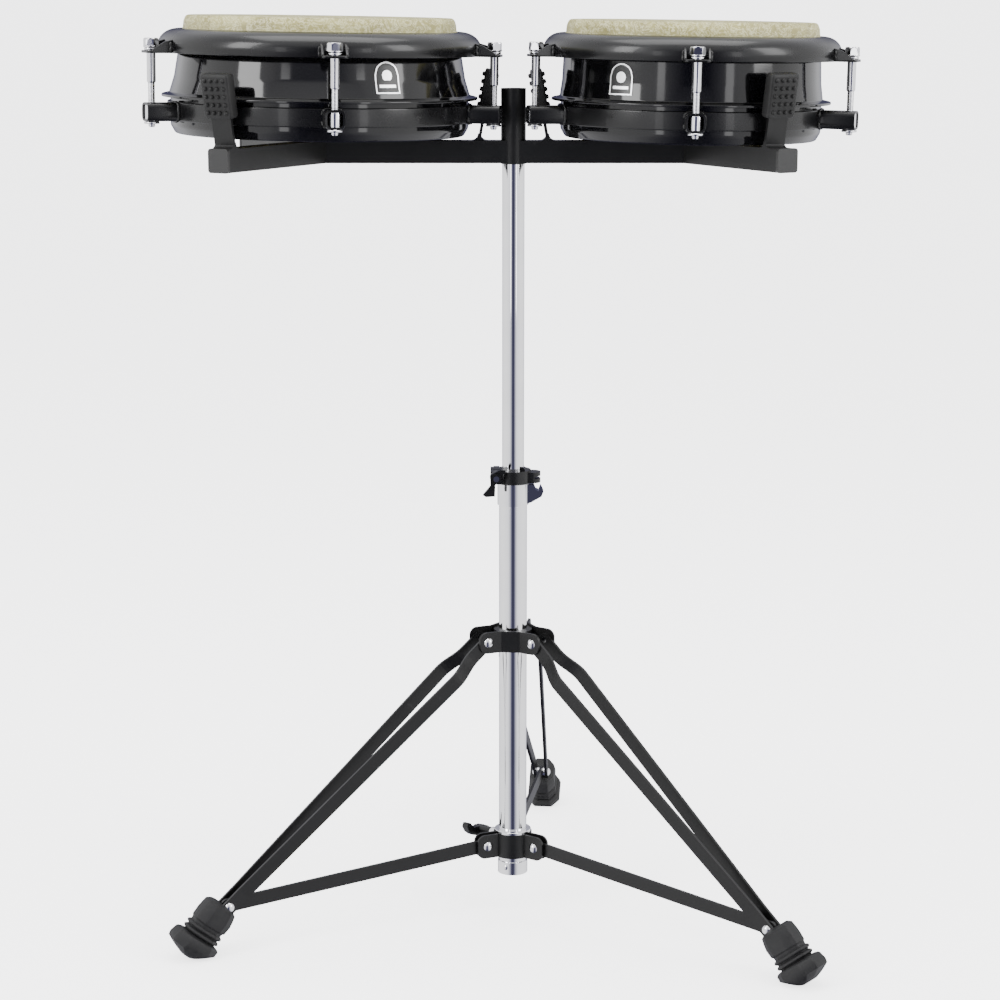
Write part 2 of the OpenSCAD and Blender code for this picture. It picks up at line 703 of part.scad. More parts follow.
// The rivets of the upper spider: one in each tab, ending at the tab's inner face
module upper_spider_rivets() {
    outer = upper_tab_c + plate_t;
    color(CHROME) for (azimuth = LEG_AZIMUTHS, side = [-1, 1]) at_leg(azimuth)
        translate([leg_pivot_r, side * outer, leg_pivot_z]) rotate([-side * 90, 0, 0]) {
            rivet_head(rivet_head_r, rivet_head_h);
            translate([0, 0, -plate_t]) cylinder(r = pivot_r, h = plate_t + 0.5);
        }
}

// ---------- sliding leg collar ----------

// Puts its children on the wing bolt's axis, with Z pointing away from the mast
module at_wing_bolt() {
    translate([0, 0, wing_bolt_z]) rotate([0, 0, wing_bolt_azimuth]) rotate([0, 90, 0]) children();
}

module leg_collar() {
    low = -collar_plate_h / 2 - 1;
    rim = collar_plate_h / 2;
    top = rim + 3;
    color(CHROME) at_mast() difference() {
        union() {
            translate([0, 0, stay_pivot_z]) rotate_extrude() polygon([
                [collar_bore_r, low], [collar_r, low], [collar_r, rim], [collar_r + 1.6, rim + 0.4],
                [collar_r + 1.6, top - 0.4], [collar_r + 1.2, top], [collar_bore_r, top]]);
            at_wing_bolt() translate([0, 0, collar_r - 1.5]) cylinder(r = wing_boss_r, h = 11);
        }
        at_wing_bolt() translate([0, 0, collar_bore_r - 2]) cylinder(r = 3 + fit, h = 30);
    }
}

// Each plate wraps the collar from one leg to the next, with a tab at each end
module collar_plates() {
    inner_r = collar_r + 0.02;
    color(BLACK) at_mast() difference() {
        rotate([0, 0, back_azimuth]) translate([0, 0, stay_pivot_z]) difference() {
            intersection() {
                translate([0, 0, -collar_plate_h / 2]) linear_extrude(height = collar_plate_h) {
                    difference() {
                        circle(r = inner_r + plate_t);
                        circle(r = inner_r);
                        for (i = [0:2]) rotate([0, 0, 120 * i])
                            translate([0, -collar_tab_c]) square([40, 2 * collar_tab_c]);
                    }
                    for (i = [0:2]) rotate([0, 0, 120 * i])
                        tab_plan(inner_r + 0.58, collar_plate_end, collar_tab_c);
                }
                plate_envelope(collar_plate_end, collar_plate_h);
            }
            tab_holes(stay_pivot_r);
        }
        at_wing_bolt() cylinder(r = wing_boss_r + 0.02, h = 40);
    }
}

module collar_rivets() {
    color(CHROME) for (azimuth = LEG_AZIMUTHS) at_leg(azimuth)
        translate([stay_pivot_r, 0, stay_pivot_z]) through_rivet(collar_tab_c + plate_t);
}

// A rivet along Y with a head on each side
module through_rivet(outer) {
    rotate([90, 0, 0]) translate([0, 0, -outer]) cylinder(r = pivot_r, h = 2 * outer);
    for (side = [-1, 1]) translate([0, side * (outer - eps), 0]) rotate([-side * 90, 0, 0])
        rivet_head(rivet_head_r, rivet_head_h);
}

// A bolt with a round hub and two bent wings, the longer one towards the player
module collar_wing_bolt() {
    head = collar_r + 10.2;
    hub_h = 22;
    wing_t = 7;
    color(BLACK) at_mast() at_wing_bolt() {
        translate([0, 0, lower_tube_r + 0.5]) cylinder(r = 3, h = head - lower_tube_r);
        translate([0, 0, head]) cylinder(r1 = 6, r2 = 5, h = hub_h);
        translate([0, 0, head + hub_h - wing_t - 1]) rotate([0, 0, 90]) linear_extrude(height = wing_t)
            polygon([
                [-4, -5], [4, -5], [13, -2], [20, 3], [24, 9.5], [22, 13.5], [18, 12.5], [12, 6], [4, 5],
                [-4, 5], [-12, 2], [-17, -2], [-17, -7], [-12, -7]]);
    }
}

// ---------- end cap ----------

module end_cap() {
    floor_t = 3;
    color(CHROME) at_mast() translate([0, 0, lower_tube_bottom - floor_t]) difference() {
        cylinder(r = lower_tube_r + 1.2, h = 13);
        translate([0, 0, floor_t]) cylinder(r = lower_tube_r + 0.02, h = 20);
        rotate([0, 0, -120]) translate([0, 0, 8]) rotate([0, 90, 0]) cylinder(r = 1.62, h = 30);
    }
}

module end_cap_screw() {
    color(CHROME) at_mast() translate([0, 0, lower_tube_bottom + 5]) rotate([0, 0, -120]) rotate([0, 90, 0])
        translate([0, 0, lower_tube_r + 0.05]) {
            cylinder(r = 1.6, h = 1.3);
            translate([0, 0, 1.2]) rivet_head(2.8, 1.2);
        }
}

// ---------- legs ----------

// Share of the splay that a strip has reached in its bend
function bend_share(x) = (1 - cos(180 * (x - bend_start) / (bend_end - bend_start))) / 2;

// Half spacing of a leg's strips at a distance from the upper pivot
function spacing(x) = x < bend_start ? spacing_top
    : x < bend_end ? spacing_top + (splay - spacing_top) * bend_share(x)
    : x < leg_len - 20 ? splay + (spacing_foot - splay) * (x - bend_end) / (leg_len - 20 - bend_end)
    : spacing_foot;

// Plan of one strip, with X along the leg
module strip_plan() {
    stations = concat([-8], [for (x = [bend_start:4:bend_end]) x], [64, leg_len - 20, leg_end]);
    last = len(stations) - 1;
    polygon(concat(
        [for (x = stations) [x, spacing(x) + strip_t / 2]],
        [for (i = [last:-1:0]) [stations[i], spacing(stations[i]) - strip_t / 2]]
    ));
}

// Side view of a strip of the given length with round ends and a hole at each pivot
module strip_side(length, end) {
    difference() {
        union() {
            translate([0, -strip_w / 2]) square([end, strip_w]);
            circle(r = strip_w / 2);
            translate([end, 0]) circle(r = strip_w / 2);
        }
        circle(r = pivot_r + fit);
        translate([length, 0]) circle(r = pivot_r + fit);
    }
}

// A leg's two strips, with X along the leg from the upper pivot
module leg(azimuth) {
    color(BLACK) at_leg(azimuth) translate([leg_pivot_r, 0, leg_pivot_z]) rotate([0, leg_slope, 0])
        for (side = [0, 1]) mirror([0, side, 0]) intersection() {
            translate([0, 0, -20]) linear_extrude(height = 40) strip_plan();
            rotate([90, 0, 0]) linear_extrude(height = 80, center = true)
                strip_side(leg_len, leg_end - strip_w / 2);
        }
}

module stay(azimuth) {
    color(BLACK) at_leg(azimuth) translate([stay_pivot_r, 0, stay_pivot_z]) rotate([0, stay_slope, 0])
        rotate([90, 0, 0]) linear_extrude(height = strip_t, center = true) strip_side(stay_len, stay_len);
}

// The rivet through both strips and the stay, with a spacer on each side of the stay
module foot_rivets(azimuth) {
    spacer_from = strip_t / 2 + face_gap;
    spacer_h = spacing_foot - strip_t / 2 - spacer_from;
    color(CHROME) at_leg(azimuth) translate([foot_pivot_r, 0, foot_pivot_z]) {
        through_rivet(spacing_foot + strip_t / 2);
        for (side = [-1, 1]) translate([0, side * spacer_from, 0]) rotate([-side * 90, 0, 0])
            cylinder(r = 5, h = spacer_h);
    }
}

// One cross-section of a boot at a distance x along its axis: w across the leg, h in the leg's plane
module boot_slice(x, w, h, c) {
    translate([x, 0, c]) rotate([90, 0, 90]) linear_extrude(height = 0.5) polygon([
        [-w / 2, -h / 4], [-w / 4, -h / 2], [w / 4, -h / 2], [w / 2, -h / 4],
        [w / 2, h / 4], [w / 4, h / 2], [-w / 4, h / 2], [-w / 2, h / 4]]);
}

// The solid of a boot along +X: a chamfered block, a neck with two ribs and a flared foot with a domed sole
module boot_body() {
    hull() {
        boot_slice(0, 22, 27, -1);
        boot_slice(3, 28, 33, -1.5);
        boot_slice(15, 30, 37, -2);
        boot_slice(25, 28, 36, -1.5);
    }
    hull() {
        boot_slice(25, 26, 33, -1.3);
        boot_slice(41, 26, 33, -1.3);
    }
    for (x = [28, 33.5]) hull() {
        boot_slice(x, 29, 36, -1.3);
        boot_slice(x + 2, 34, 42, -1.3);
        boot_slice(x + 4, 29, 36, -1.3);
    }
    hull() {
        boot_slice(39.5, 32, 42, -1);
        boot_slice(41.5, 36, 47, -0.7);
        boot_slice(49, 38, 50, -0.3);
        boot_slice(54, 36, 41, 4);
        boot_slice(59, 28, 24, 1.5);
        boot_slice(61, 16, 10, 1);
    }
}

// A rubber boot over a leg's end: steeper than the leg, and cut flat where it stands
module boot(azimuth) {
    boot_slope = 51;
    slot_h = strip_w + 0.1;
    color(RUBBER) at_leg(azimuth) difference() {
        translate([foot_pivot_r + 11.2, 0, foot_pivot_z + 3]) rotate([0, boot_slope, 0]) boot_body();
        translate([0, -60, -100]) cube([600, 120, 100]);
        translate([foot_pivot_r, 0, foot_pivot_z]) {
            rotate([0, leg_slope, 0]) for (side = [-1, 1])
                translate([-8, side * spacing_foot - strip_t / 2 - 0.05, -slot_h / 2])
                    cube([35, strip_t + 0.1, slot_h]);
            rotate([90, 0, 0]) cylinder(r = strip_w / 2 + 0.5, h = 4, center = true);
            rotate([90, 0, 0]) cylinder(r = rivet_head_r + 0.5, h = 60, center = true);
        }
    }
}

module leg_back() { leg(back_azimuth); }
module leg_left() { leg(left_azimuth); }
module leg_right() { leg(right_azimuth); }
module stay_back() { stay(back_azimuth); }
module stay_left() { stay(left_azimuth); }
module stay_right() { stay(right_azimuth); }
module boot_back() { boot(back_azimuth); }
module boot_left() { boot(left_azimuth); }
module boot_right() { boot(right_azimuth); }
module foot_rivets_back() { foot_rivets(back_azimuth); }
module foot_rivets_left() { foot_rivets(left_azimuth); }
module foot_rivets_right() { foot_rivets(right_azimuth); }

large_shell();
large_head();
large_hoop();
large_lug_ring();
large_lug_nuts();
large_badge();
large_rod_front();
large_rod_inner();
large_rod_outer();
large_rod_back_inner();
large_rod_back_outer();
small_shell();
small_head();
small_hoop();
small_lug_ring();
small_lug_nuts();
small_badge();
small_rod_front();
small_rod_inner();
small_rod_outer();
small_rod_back_inner();
small_rod_back_outer();
cradle_sleeve();
cradle_bar();
large_arms();
small_arms();
arm_end_caps();
large_clips();
small_clips();
large_pads();
small_pads();
upper_tube();
lower_tube();
tube_guide();
height_casting();
memory_lock();
lock_bolt();
lock_wing_nut();
upper_spider_hub();
upper_spider_plates();
upper_spider_rivets();
end_cap();
end_cap_screw();
leg_collar();
collar_plates();
collar_rivets();
collar_wing_bolt();
leg_back();
leg_left();
leg_right();
stay_back();
stay_left();
stay_right();
boot_back();
boot_left();
boot_right();
foot_rivets_back();
foot_rivets_left();
foot_rivets_right();
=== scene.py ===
import json
import math
import random

import bmesh
import bpy
from mathutils import Matrix, Vector


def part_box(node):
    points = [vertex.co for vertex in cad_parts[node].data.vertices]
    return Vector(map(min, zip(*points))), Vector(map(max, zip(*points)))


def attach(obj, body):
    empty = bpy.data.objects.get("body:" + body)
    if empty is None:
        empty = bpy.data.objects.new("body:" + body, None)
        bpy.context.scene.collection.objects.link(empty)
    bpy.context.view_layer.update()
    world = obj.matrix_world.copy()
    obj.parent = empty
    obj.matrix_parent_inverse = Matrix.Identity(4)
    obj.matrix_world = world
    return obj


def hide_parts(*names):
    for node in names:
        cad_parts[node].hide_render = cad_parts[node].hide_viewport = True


# Looks for a pair of shallow hand drums on a folding tripod stand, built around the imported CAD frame.
# Lengths in this file are in millimetres and are turned into metres by MM where the meshes are made.

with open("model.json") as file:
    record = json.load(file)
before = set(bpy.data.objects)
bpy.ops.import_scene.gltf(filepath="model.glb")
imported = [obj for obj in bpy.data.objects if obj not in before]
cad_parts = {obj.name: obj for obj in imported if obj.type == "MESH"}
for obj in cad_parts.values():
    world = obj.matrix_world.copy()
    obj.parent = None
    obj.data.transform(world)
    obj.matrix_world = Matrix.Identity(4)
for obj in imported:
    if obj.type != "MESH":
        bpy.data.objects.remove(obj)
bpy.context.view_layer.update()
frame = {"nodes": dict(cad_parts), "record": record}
nodes = frame["nodes"]
MM = 0.001
RNG = random.Random(7)


def centre_of(node):
    """The middle of a CAD node's box, in millimetres."""
    low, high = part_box(node)
    return (Vector(low) + Vector(high)) / 2 / MM


def low_of(node):
    """The low corner of a CAD node's box, in millimetres."""
    return Vector(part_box(node)[0]) / MM


def high_of(node):
    """The high corner of a CAD node's box, in millimetres."""
    return Vector(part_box(node)[1]) / MM


MAST = centre_of("lower_tube")

# ---------------------------------------------------------------- materials

# Sockets of a Mix node that blends colours
MIX_A, MIX_B, MIX_OUT = 6, 7, 2
PAINT_SHINE = 0.3
COAT_ROUGHNESS = 0.05
SCUFF_LIFT = 0.06
PLATING = (0.80, 0.80, 0.82)
DUST_LIFT = 0.008


class Nodes:
    """A short way to build a material's node tree."""

    def __init__(self, name):
        self.material = bpy.data.materials.new(name)
        self.material.use_nodes = True
        self.tree = self.material.node_tree
        self.shader = self.tree.nodes["Principled BSDF"]

    def add(self, kind, **inputs):
        """A new node. Each value goes to the input of that name, or else to the setting of that name."""
        node = self.tree.nodes.new("ShaderNode" + kind)
        for key, value in inputs.items():
            if key in node.inputs:
                node.inputs[key].default_value = value
            else:
                setattr(node, key, value)
        return node

    def link(self, out_node, out_name, in_node, in_name):
        self.tree.links.new(out_node.outputs[out_name], in_node.inputs[in_name])

    def set(self, **values):
        """Sets inputs of the Principled shader, with underscores for spaces."""
        for key, value in values.items():
            self.shader.inputs[key.replace("_", " ")].default_value = value

    def noise(self, scale, detail=4.0, roughness=0.5, distortion=0.0, stretch=None):
        """A noise texture over the object's own coordinates, in metres."""
        coords = self.add("TexCoord")
        noise = self.add("TexNoise", Scale=scale, Detail=detail, Roughness=roughness, Distortion=distortion)
        if stretch:
            mapping = self.add("Mapping")
            mapping.inputs["Scale"].default_value = stretch
            self.link(coords, "Object", mapping, "Vector")
            self.link(mapping, "Vector", noise, "Vector")
        else:
            self.link(coords, "Object", noise, "Vector")
        return noise

    def ramp(self, source, output, stops):
        """A colour ramp with a list of (place, colour) stops."""
        ramp = self.add("ValToRGB")
        elements = ramp.color_ramp.elements
        while len(elements) < len(stops):
            elements.new(0.5)
        for element, (place, value) in zip(elements, stops):
            element.position = place
            element.color = (*value, 1.0)
        self.link(source, output, ramp, "Fac")
        return ramp

    def bump(self, source, output, strength, distance):
        bump = self.add("Bump", Strength=strength, Distance=distance)
        self.link(source, output, bump, "Height")
        self.link(bump, "Normal", self.shader, "Normal")


def grey(value):
    """A grey colour of one value."""
    return (value, value, value)


def painted(name, colour, rough, grain=0.0, depth=0.0, coat=0.0, wear=0.35):
    """Black paint or powder coat: fine grain, patchy gloss, and dust-grey scuffs. The depth is in metres."""
    n = Nodes(name)
    n.set(Specular_IOR_Level=PAINT_SHINE, Coat_Weight=coat, Coat_Roughness=COAT_ROUGHNESS)
    patches = n.noise(18.0, detail=5.0, roughness=0.6)
    gloss = n.ramp(patches, "Fac", [(0.3, grey(rough[0])), (0.7, grey(rough[1]))])
    n.link(gloss, "Color", n.shader, "Roughness")
    scuffs = n.noise(55.0, detail=8.0, roughness=0.75, distortion=0.6)
    scuff_colour = tuple(c + wear * SCUFF_LIFT for c in colour)
    tint = n.ramp(scuffs, "Fac", [(0.0, colour), (0.62, colour), (0.8, scuff_colour)])
    n.link(tint, "Color", n.shader, "Base Color")
    if grain:
        fine = n.noise(grain, detail=2.0)
        n.bump(fine, "Fac", 0.35, depth)
    return n.material


def chrome(name, rough):
    """Polished plating with finger smears and the faintest waviness."""
    n = Nodes(name)
    n.set(Metallic=1.0, Specular_IOR_Level=0.5)
    smears = n.noise(9.0, detail=6.0, roughness=0.62, stretch=(1.0, 1.0, 0.35))
    gloss = n.ramp(smears, "Fac", [(0.35, grey(rough[0])), (0.75, grey(rough[1]))])
    n.link(gloss, "Color", n.shader, "Roughness")
    tone = n.noise(30.0, detail=3.0)
    darker = tuple(c * 0.93 for c in PLATING)
    colour = n.ramp(tone, "Fac", [(0.3, darker), (0.7, PLATING)])
    n.link(colour, "Color", n.shader, "Base Color")
    wave = n.noise(40.0, detail=1.0)
    n.bump(wave, "Fac", 0.03, 0.0004)
    return n.material


def rubber(name, colour, grain):
    """Matt moulded rubber with a little dust and a fine grain."""
    n = Nodes(name)
    n.set(Specular_IOR_Level=0.25)
    dust = n.noise(35.0, detail=7.0, roughness=0.7)
    lighter = tuple(c + DUST_LIFT for c in colour)
    tint = n.ramp(dust, "Fac", [(0.35, colour), (0.8, lighter)])
    n.link(tint, "Color", n.shader, "Base Color")
    rough = n.ramp(dust, "Fac", [(0.3, grey(0.46)), (0.75, grey(0.66))])
    n.link(rough, "Color", n.shader, "Roughness")
    fine = n.noise(grain, detail=3.0)
    n.bump(fine, "Fac", 0.4, 0.00025)
    return n.material


def skin(name):
    """Mottled synthetic skin: olive-cream ground, pale fibres that cross it, darker blotches."""
    n = Nodes(name)
    n.set(Specular_IOR_Level=0.45)
    ground = n.noise(26.0, detail=9.0, roughness=0.68, distortion=0.8)
    base = n.ramp(ground, "Fac", [
        (0.25, (0.11, 0.095, 0.025)),
        (0.42, (0.20, 0.18, 0.06)),
        (0.58, (0.28, 0.26, 0.10)),
        (0.8, (0.44, 0.42, 0.21)),
    ])
    fibres = n.noise(70.0, detail=6.0, roughness=0.7, distortion=3.2, stretch=(1.0, 0.45, 1.0))
    streak = n.ramp(fibres, "Fac", [(0.47, grey(0.0)), (0.5, grey(0.75)), (0.53, grey(0.0))])
    blend = n.add("Mix", data_type="RGBA")
    n.link(streak, "Color", blend, "Factor")
    n.tree.links.new(base.outputs["Color"], blend.inputs[MIX_A])
    blend.inputs[MIX_B].default_value = (0.70, 0.68, 0.45, 1.0)
    n.tree.links.new(blend.outputs[MIX_OUT], n.shader.inputs["Base Color"])
    rough = n.ramp(ground, "Fac", [(0.3, grey(0.42)), (0.7, grey(0.6))])
    n.link(rough, "Color", n.shader, "Roughness")
    n.bump(fibres, "Fac", 0.35, 0.0006)
    return n.material


def satin_metal(name, tint, rough):
    """Brushed metal, with its brushing along the height."""
    n = Nodes(name)
    n.set(Metallic=1.0)
    brush = n.noise(260.0, detail=3.0, stretch=(1.0, 1.0, 0.1))
    colour = n.ramp(brush, "Fac", [(0.3, tuple(c * 0.9 for c in tint)), (0.7, tint)])
    n.link(colour, "Color", n.shader, "Base Color")
    level = n.ramp(brush, "Fac", [(0.3, grey(rough)), (0.7, grey(rough + 0.12))])
    n.link(level, "Color", n.shader, "Roughness")
    return n.material


MATERIALS = {
    "gloss_black_shell": painted(
        "gloss_black_gel_coat", (0.0015, 0.0015, 0.0018), rough=(0.06, 0.13),
        grain=420.0, depth=0.00002, coat=0.25, wear=0.05),
    "drum_skin": skin("mottled_skin"),
    "satin_black_steel": painted(
        "semi_gloss_black_coat", (0.002, 0.002, 0.0023), rough=(0.22, 0.34),
        grain=900.0, depth=0.00004, coat=0.15, wear=0.12),
    "chrome_hardware": chrome("polished_chrome", rough=(0.05, 0.14)),
    "chrome_tube": chrome("polished_chrome_tube", rough=(0.06, 0.13)),
    "badge_metal": satin_metal("badge_silver", (0.78, 0.78, 0.79), rough=0.28),
    "boot_rubber": rubber("moulded_rubber", (0.005, 0.005, 0.0055), grain=700.0),
    "pad_rubber": rubber("soft_pad_rubber", (0.005, 0.005, 0.005), grain=900.0),
    "black_plastic": painted(
        "satin_black_plastic", (0.014, 0.014, 0.014), rough=(0.38, 0.5),
        grain=650.0, depth=0.0001, wear=0.3),
    "black_cast_metal": painted(
        "black_cast_coat", (0.003, 0.003, 0.0034), rough=(0.24, 0.4),
        grain=500.0, depth=0.0001, wear=0.25),
    "black_stand_steel": painted(
        "satin_black_coat", (0.003, 0.003, 0.0032), rough=(0.3, 0.44),
        grain=800.0, depth=0.00008, wear=0.25),
}
BADGE_DARK = painted("badge_black_enamel", (0.008, 0.008, 0.008), rough=(0.2, 0.3))
WELD = painted(
    "weld_bead_paint", (0.010, 0.010, 0.010), rough=(0.25, 0.4),
    grain=900.0, depth=0.0002, wear=0.5)

# ---------------------------------------------------------------- mesh helpers

# A corner this close to straight (radians) stays as it is, and a fillet takes at most this share of a side
NEARLY_STRAIGHT = 0.01
SIDE_SHARE = 0.49
ON_AXIS = 1e-6
MERGE = 1e-7
DRUM_SEGMENTS = 192
TUBE_SEGMENTS = 96
ROD_SEGMENTS = 48
DOME_SEGMENTS = 20
BEAD_SIDES = 8
BEAD_RADIUS = 1.5
BEVEL_ANGLE = math.radians(28)


def fillet(points, radii, steps=6):
    """A closed outline with its corners rounded by one radius or by one each (0 keeps a corner sharp)."""
    out = []
    count = len(points)
    for i, corner in enumerate(points):
        radius = radii[i] if isinstance(radii, (list, tuple)) else radii
        p = Vector(corner)
        to_prev = Vector(points[i - 1]) - p
        to_next = Vector(points[(i + 1) % count]) - p
        half = to_prev.angle(to_next) / 2
        if radius <= 0 or abs(half - math.pi / 2) < NEARLY_STRAIGHT:
            out.append(tuple(p))
            continue
        reach = min(radius / math.tan(half), to_prev.length * SIDE_SHARE, to_next.length * SIDE_SHARE)
        start = p + to_prev.normalized() * reach
        end = p + to_next.normalized() * reach
        for k in range(steps + 1):
            t = k / steps
            out.append(tuple(start * (1 - t) ** 2 + p * 2 * t * (1 - t) + end * t ** 2))
    return out


def make(name, bm, slot, body, sharp, material=None):
    """A finished mesh object that rides on a body, in its slot's material unless another is given.

    Edges past the sharp angle (degrees, 0 for none) stay crisp.
    """
    bmesh.ops.recalc_face_normals(bm, faces=bm.faces)
    mesh = bpy.data.meshes.new(name)
    bm.to_mesh(mesh)
    bm.free()
    mesh.materials.append(material or MATERIALS[slot])
    obj = bpy.data.objects.new(name, mesh)
    bpy.context.collection.objects.link(obj)
    for polygon in mesh.polygons:
        polygon.use_smooth = True
    if sharp:
        mesh.set_sharp_from_angle(angle=math.radians(sharp))
    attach(obj, body)
    return obj


def lathe(bm, outline, place, segments):
    """Turns a closed (radius, height) outline round the Z axis of a placing matrix, in millimetres."""
    rings = []
    for k in range(segments):
        a = 2 * math.pi * k / segments
        rings.append([
            bm.verts.new(place @ Vector((r * math.cos(a), r * math.sin(a), z)) * MM) for r, z in outline])
    count = len(outline)
    for k in range(segments):
        here, there = rings[k], rings[(k + 1) % segments]
        for i in range(count):
            j = (i + 1) % count
            if outline[i][0] < ON_AXIS and outline[j][0] < ON_AXIS:
                continue
            bm.faces.new((here[i], there[i], there[j], here[j]))
    bmesh.ops.remove_doubles(bm, verts=bm.verts, dist=MERGE)


def extrude(bm, outline, depth, place):
    """A flat outline given in XY, extruded along Z from 0 to depth."""
    low = [bm.verts.new(place @ Vector((x, y, 0)) * MM) for x, y in outline]
    high = [bm.verts.new(place @ Vector((x, y, depth)) * MM) for x, y in outline]
    bm.faces.new(low[::-1])
    bm.faces.new(high)
    count = len(outline)
    for i in range(count):
        j = (i + 1) % count
        bm.faces.new((low[i], low[j], high[j], high[i]))


def loft(bm, sections):
    """Skins a list of equal-length closed sections of points, in millimetres, and closes both ends."""
    rings = [[bm.verts.new(Vector(p) * MM) for p in section] for section in sections]
    count = len(rings[0])
    for here, there in zip(rings, rings[1:]):
        for i in range(count):
            j = (i + 1) % count
            bm.faces.new((here[i], here[j], there[j], there[i]))
    bm.faces.new(rings[0][::-1])
    bm.faces.new(rings[-1])


def bead(bm, path, closed=False):
    """A lumpy weld bead along a path of points, in millimetres, thinner at the ends of an open path."""
    rings = []
    turns = [2 * math.pi * k / BEAD_SIDES for k in range(BEAD_SIDES)]
    for i, point in enumerate(path):
        p = Vector(point)
        before = Vector(path[i - 1]) if i or closed else p
        after = Vector(path[(i + 1) % len(path)]) if i + 1 < len(path) or closed else p
        along = (after - before).normalized()
        side = along.orthogonal().normalized()
        up = along.cross(side)
        r = BEAD_RADIUS * (0.75 + 0.5 * RNG.random())
        if not closed and i in (0, len(path) - 1):
            r *= 0.4
        rings.append([tuple(p + (side * math.cos(a) + up * math.sin(a)) * r) for a in turns])
    loft(bm, rings)


def turned(azimuth, centre):
    """A matrix that puts +X of a local drawing at an azimuth (radians) round a centre."""
    return Matrix.Translation(centre) @ Matrix.Rotation(azimuth, 4, "Z")


def soften(obj, width):
    """Rounds the edges of a CAD node or piece with a bevel, in millimetres."""
    bevel = obj.modifiers.new("edges", "BEVEL")
    bevel.width = width * MM
    bevel.segments = 3
    bevel.limit_method = "ANGLE"
    bevel.angle_limit = BEVEL_ANGLE
    bevel.harden_normals = False


# ---------------------------------------------------------------- drums

# Heights above a drum's lower rim, and radii, in the drum's own tilted frame
HEIGHTS = dict(
    ring_low=13.5, ring_high=31.5, lip_z=35.6, hoop_low=78, hoop_high=101, head_top=114, thread_top=50)
RADII = {
    "large": dict(head_r=134, neck_r=139.2, bowl_r=146.7, lip_r=155.4, hoop_r=158.5, tip_r=181),
    "small": dict(head_r=124.5, neck_r=126.5, bowl_r=128.3, lip_r=137.5, hoop_r=146.5, tip_r=167),
}
# The waist's height above the lip, where the shell's neck starts
WAIST_RISE = 20
JOINTS = {joint["name"]: joint for joint in frame["record"]["behaviour"]["joints"]}
RODS = ("front", "inner", "outer", "back_inner", "back_outer")


class Drum:
    """A drum's place and lean, read from the joints of its rods, with its radii and heights."""

    def __init__(self, size):
        self.size = size
        self.body = size + "_drum"
        self.__dict__.update(HEIGHTS)
        self.__dict__.update(RADII[size])
        joints = {rod: JOINTS[f"{size}_rod_{rod}_turn"] for rod in RODS}
        axis = Vector(joints["front"]["axis"])
        middle = sum((Vector(joint["pos_m"]) for joint in joints.values()), Vector()) / len(joints) / MM
        self.centre = middle - axis * self.thread_top
        self.lean = Matrix.Rotation(math.atan2(axis.x, axis.z), 4, "Y")
        self.rods = {}
        for rod, joint in joints.items():
            local = self.lean.inverted() @ (Vector(joint["pos_m"]) / MM - self.centre)
            self.rods[rod] = math.atan2(local.y, local.x)
            self.rod_r = math.hypot(local.x, local.y)

    def at(self, azimuth=0.0):
        """A matrix that puts +X of a local drawing at an azimuth (radians) round the drum's leaning axis."""
        return Matrix.Translation(self.centre) @ self.lean @ Matrix.Rotation(azimuth, 4, "Z")


def shell_outline(d):
    """The turned shell: rolled lower rim, bowl, lip, flared neck and bearing edge."""
    lip_z = d.lip_z
    edge = d.head_r - 1.6
    outer = [
        (d.bowl_r - 9, 0), (d.bowl_r - 4.6, 0), (d.bowl_r, 8), (d.bowl_r, lip_z), (d.lip_r, lip_z),
        (d.lip_r, lip_z + 2.4), (d.bowl_r + 1.2, lip_z + 4.2),
        ((d.bowl_r + d.neck_r) / 2, lip_z + WAIST_RISE),
        (d.neck_r, d.hoop_low), (edge + 0.6, d.hoop_high - 6), (edge, d.head_top - 8),
        (edge - 5, d.head_top - 1.8)]
    inner = [
        (edge - 7, d.head_top - 1.8), (edge - 4.5, d.head_top - 8), (d.neck_r - 5.5, d.hoop_low),
        (d.bowl_r - 5.5, lip_z + 4), (d.bowl_r - 4.5, d.ring_low), (d.bowl_r - 5, 7)]
    radii = [1, 4, 7, 0.5, 0.8, 1.0, 1.4, 30, 30, 10, 4, 2, 2, 4, 20, 10, 6, 3]
    return fillet(outer + inner, radii, steps=7)


def build_shell(d):
    bm = bmesh.new()
    lathe(bm, shell_outline(d), d.at(), DRUM_SEGMENTS)
    shell = make(f"{d.size}_shell_turned", bm, "gloss_black_shell", d.body, sharp=60)
    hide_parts(f"{d.size}_shell")


def build_head(d):
    """The skin: flat top, soft shoulder, a skirt under the hoop and the flesh ring."""
    top = d.head_top
    ring = d.neck_r + 3.6
    outline = [
        (0, top - 1.2), (d.head_r - 10, top - 1.2), (d.head_r - 1.6, top - 2.6),
        (d.head_r - 1.2, d.hoop_high),
        (ring - 3, d.hoop_high - 10.5), (ring - 3.2, d.hoop_low + 5), (ring + 0.8, d.hoop_low + 5),
        (ring + 0.8, d.hoop_low + 11), (ring - 0.6, d.hoop_low + 12), (d.head_r, d.hoop_high + 0.4),
        (d.head_r - 0.6, top - 6), (d.head_r - 3, top), (0, top)]
    radii = [0, 8, 5, 2, 1, 0.5, 0.8, 0.8, 1, 6, 5, 7, 0]
    bm = bmesh.new()
    lathe(bm, fillet(outline, radii, steps=7), d.at(), DRUM_SEGMENTS)
    head = make(f"{d.size}_head_skin", bm, "drum_skin", d.body, sharp=60)
    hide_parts(f"{d.size}_head")


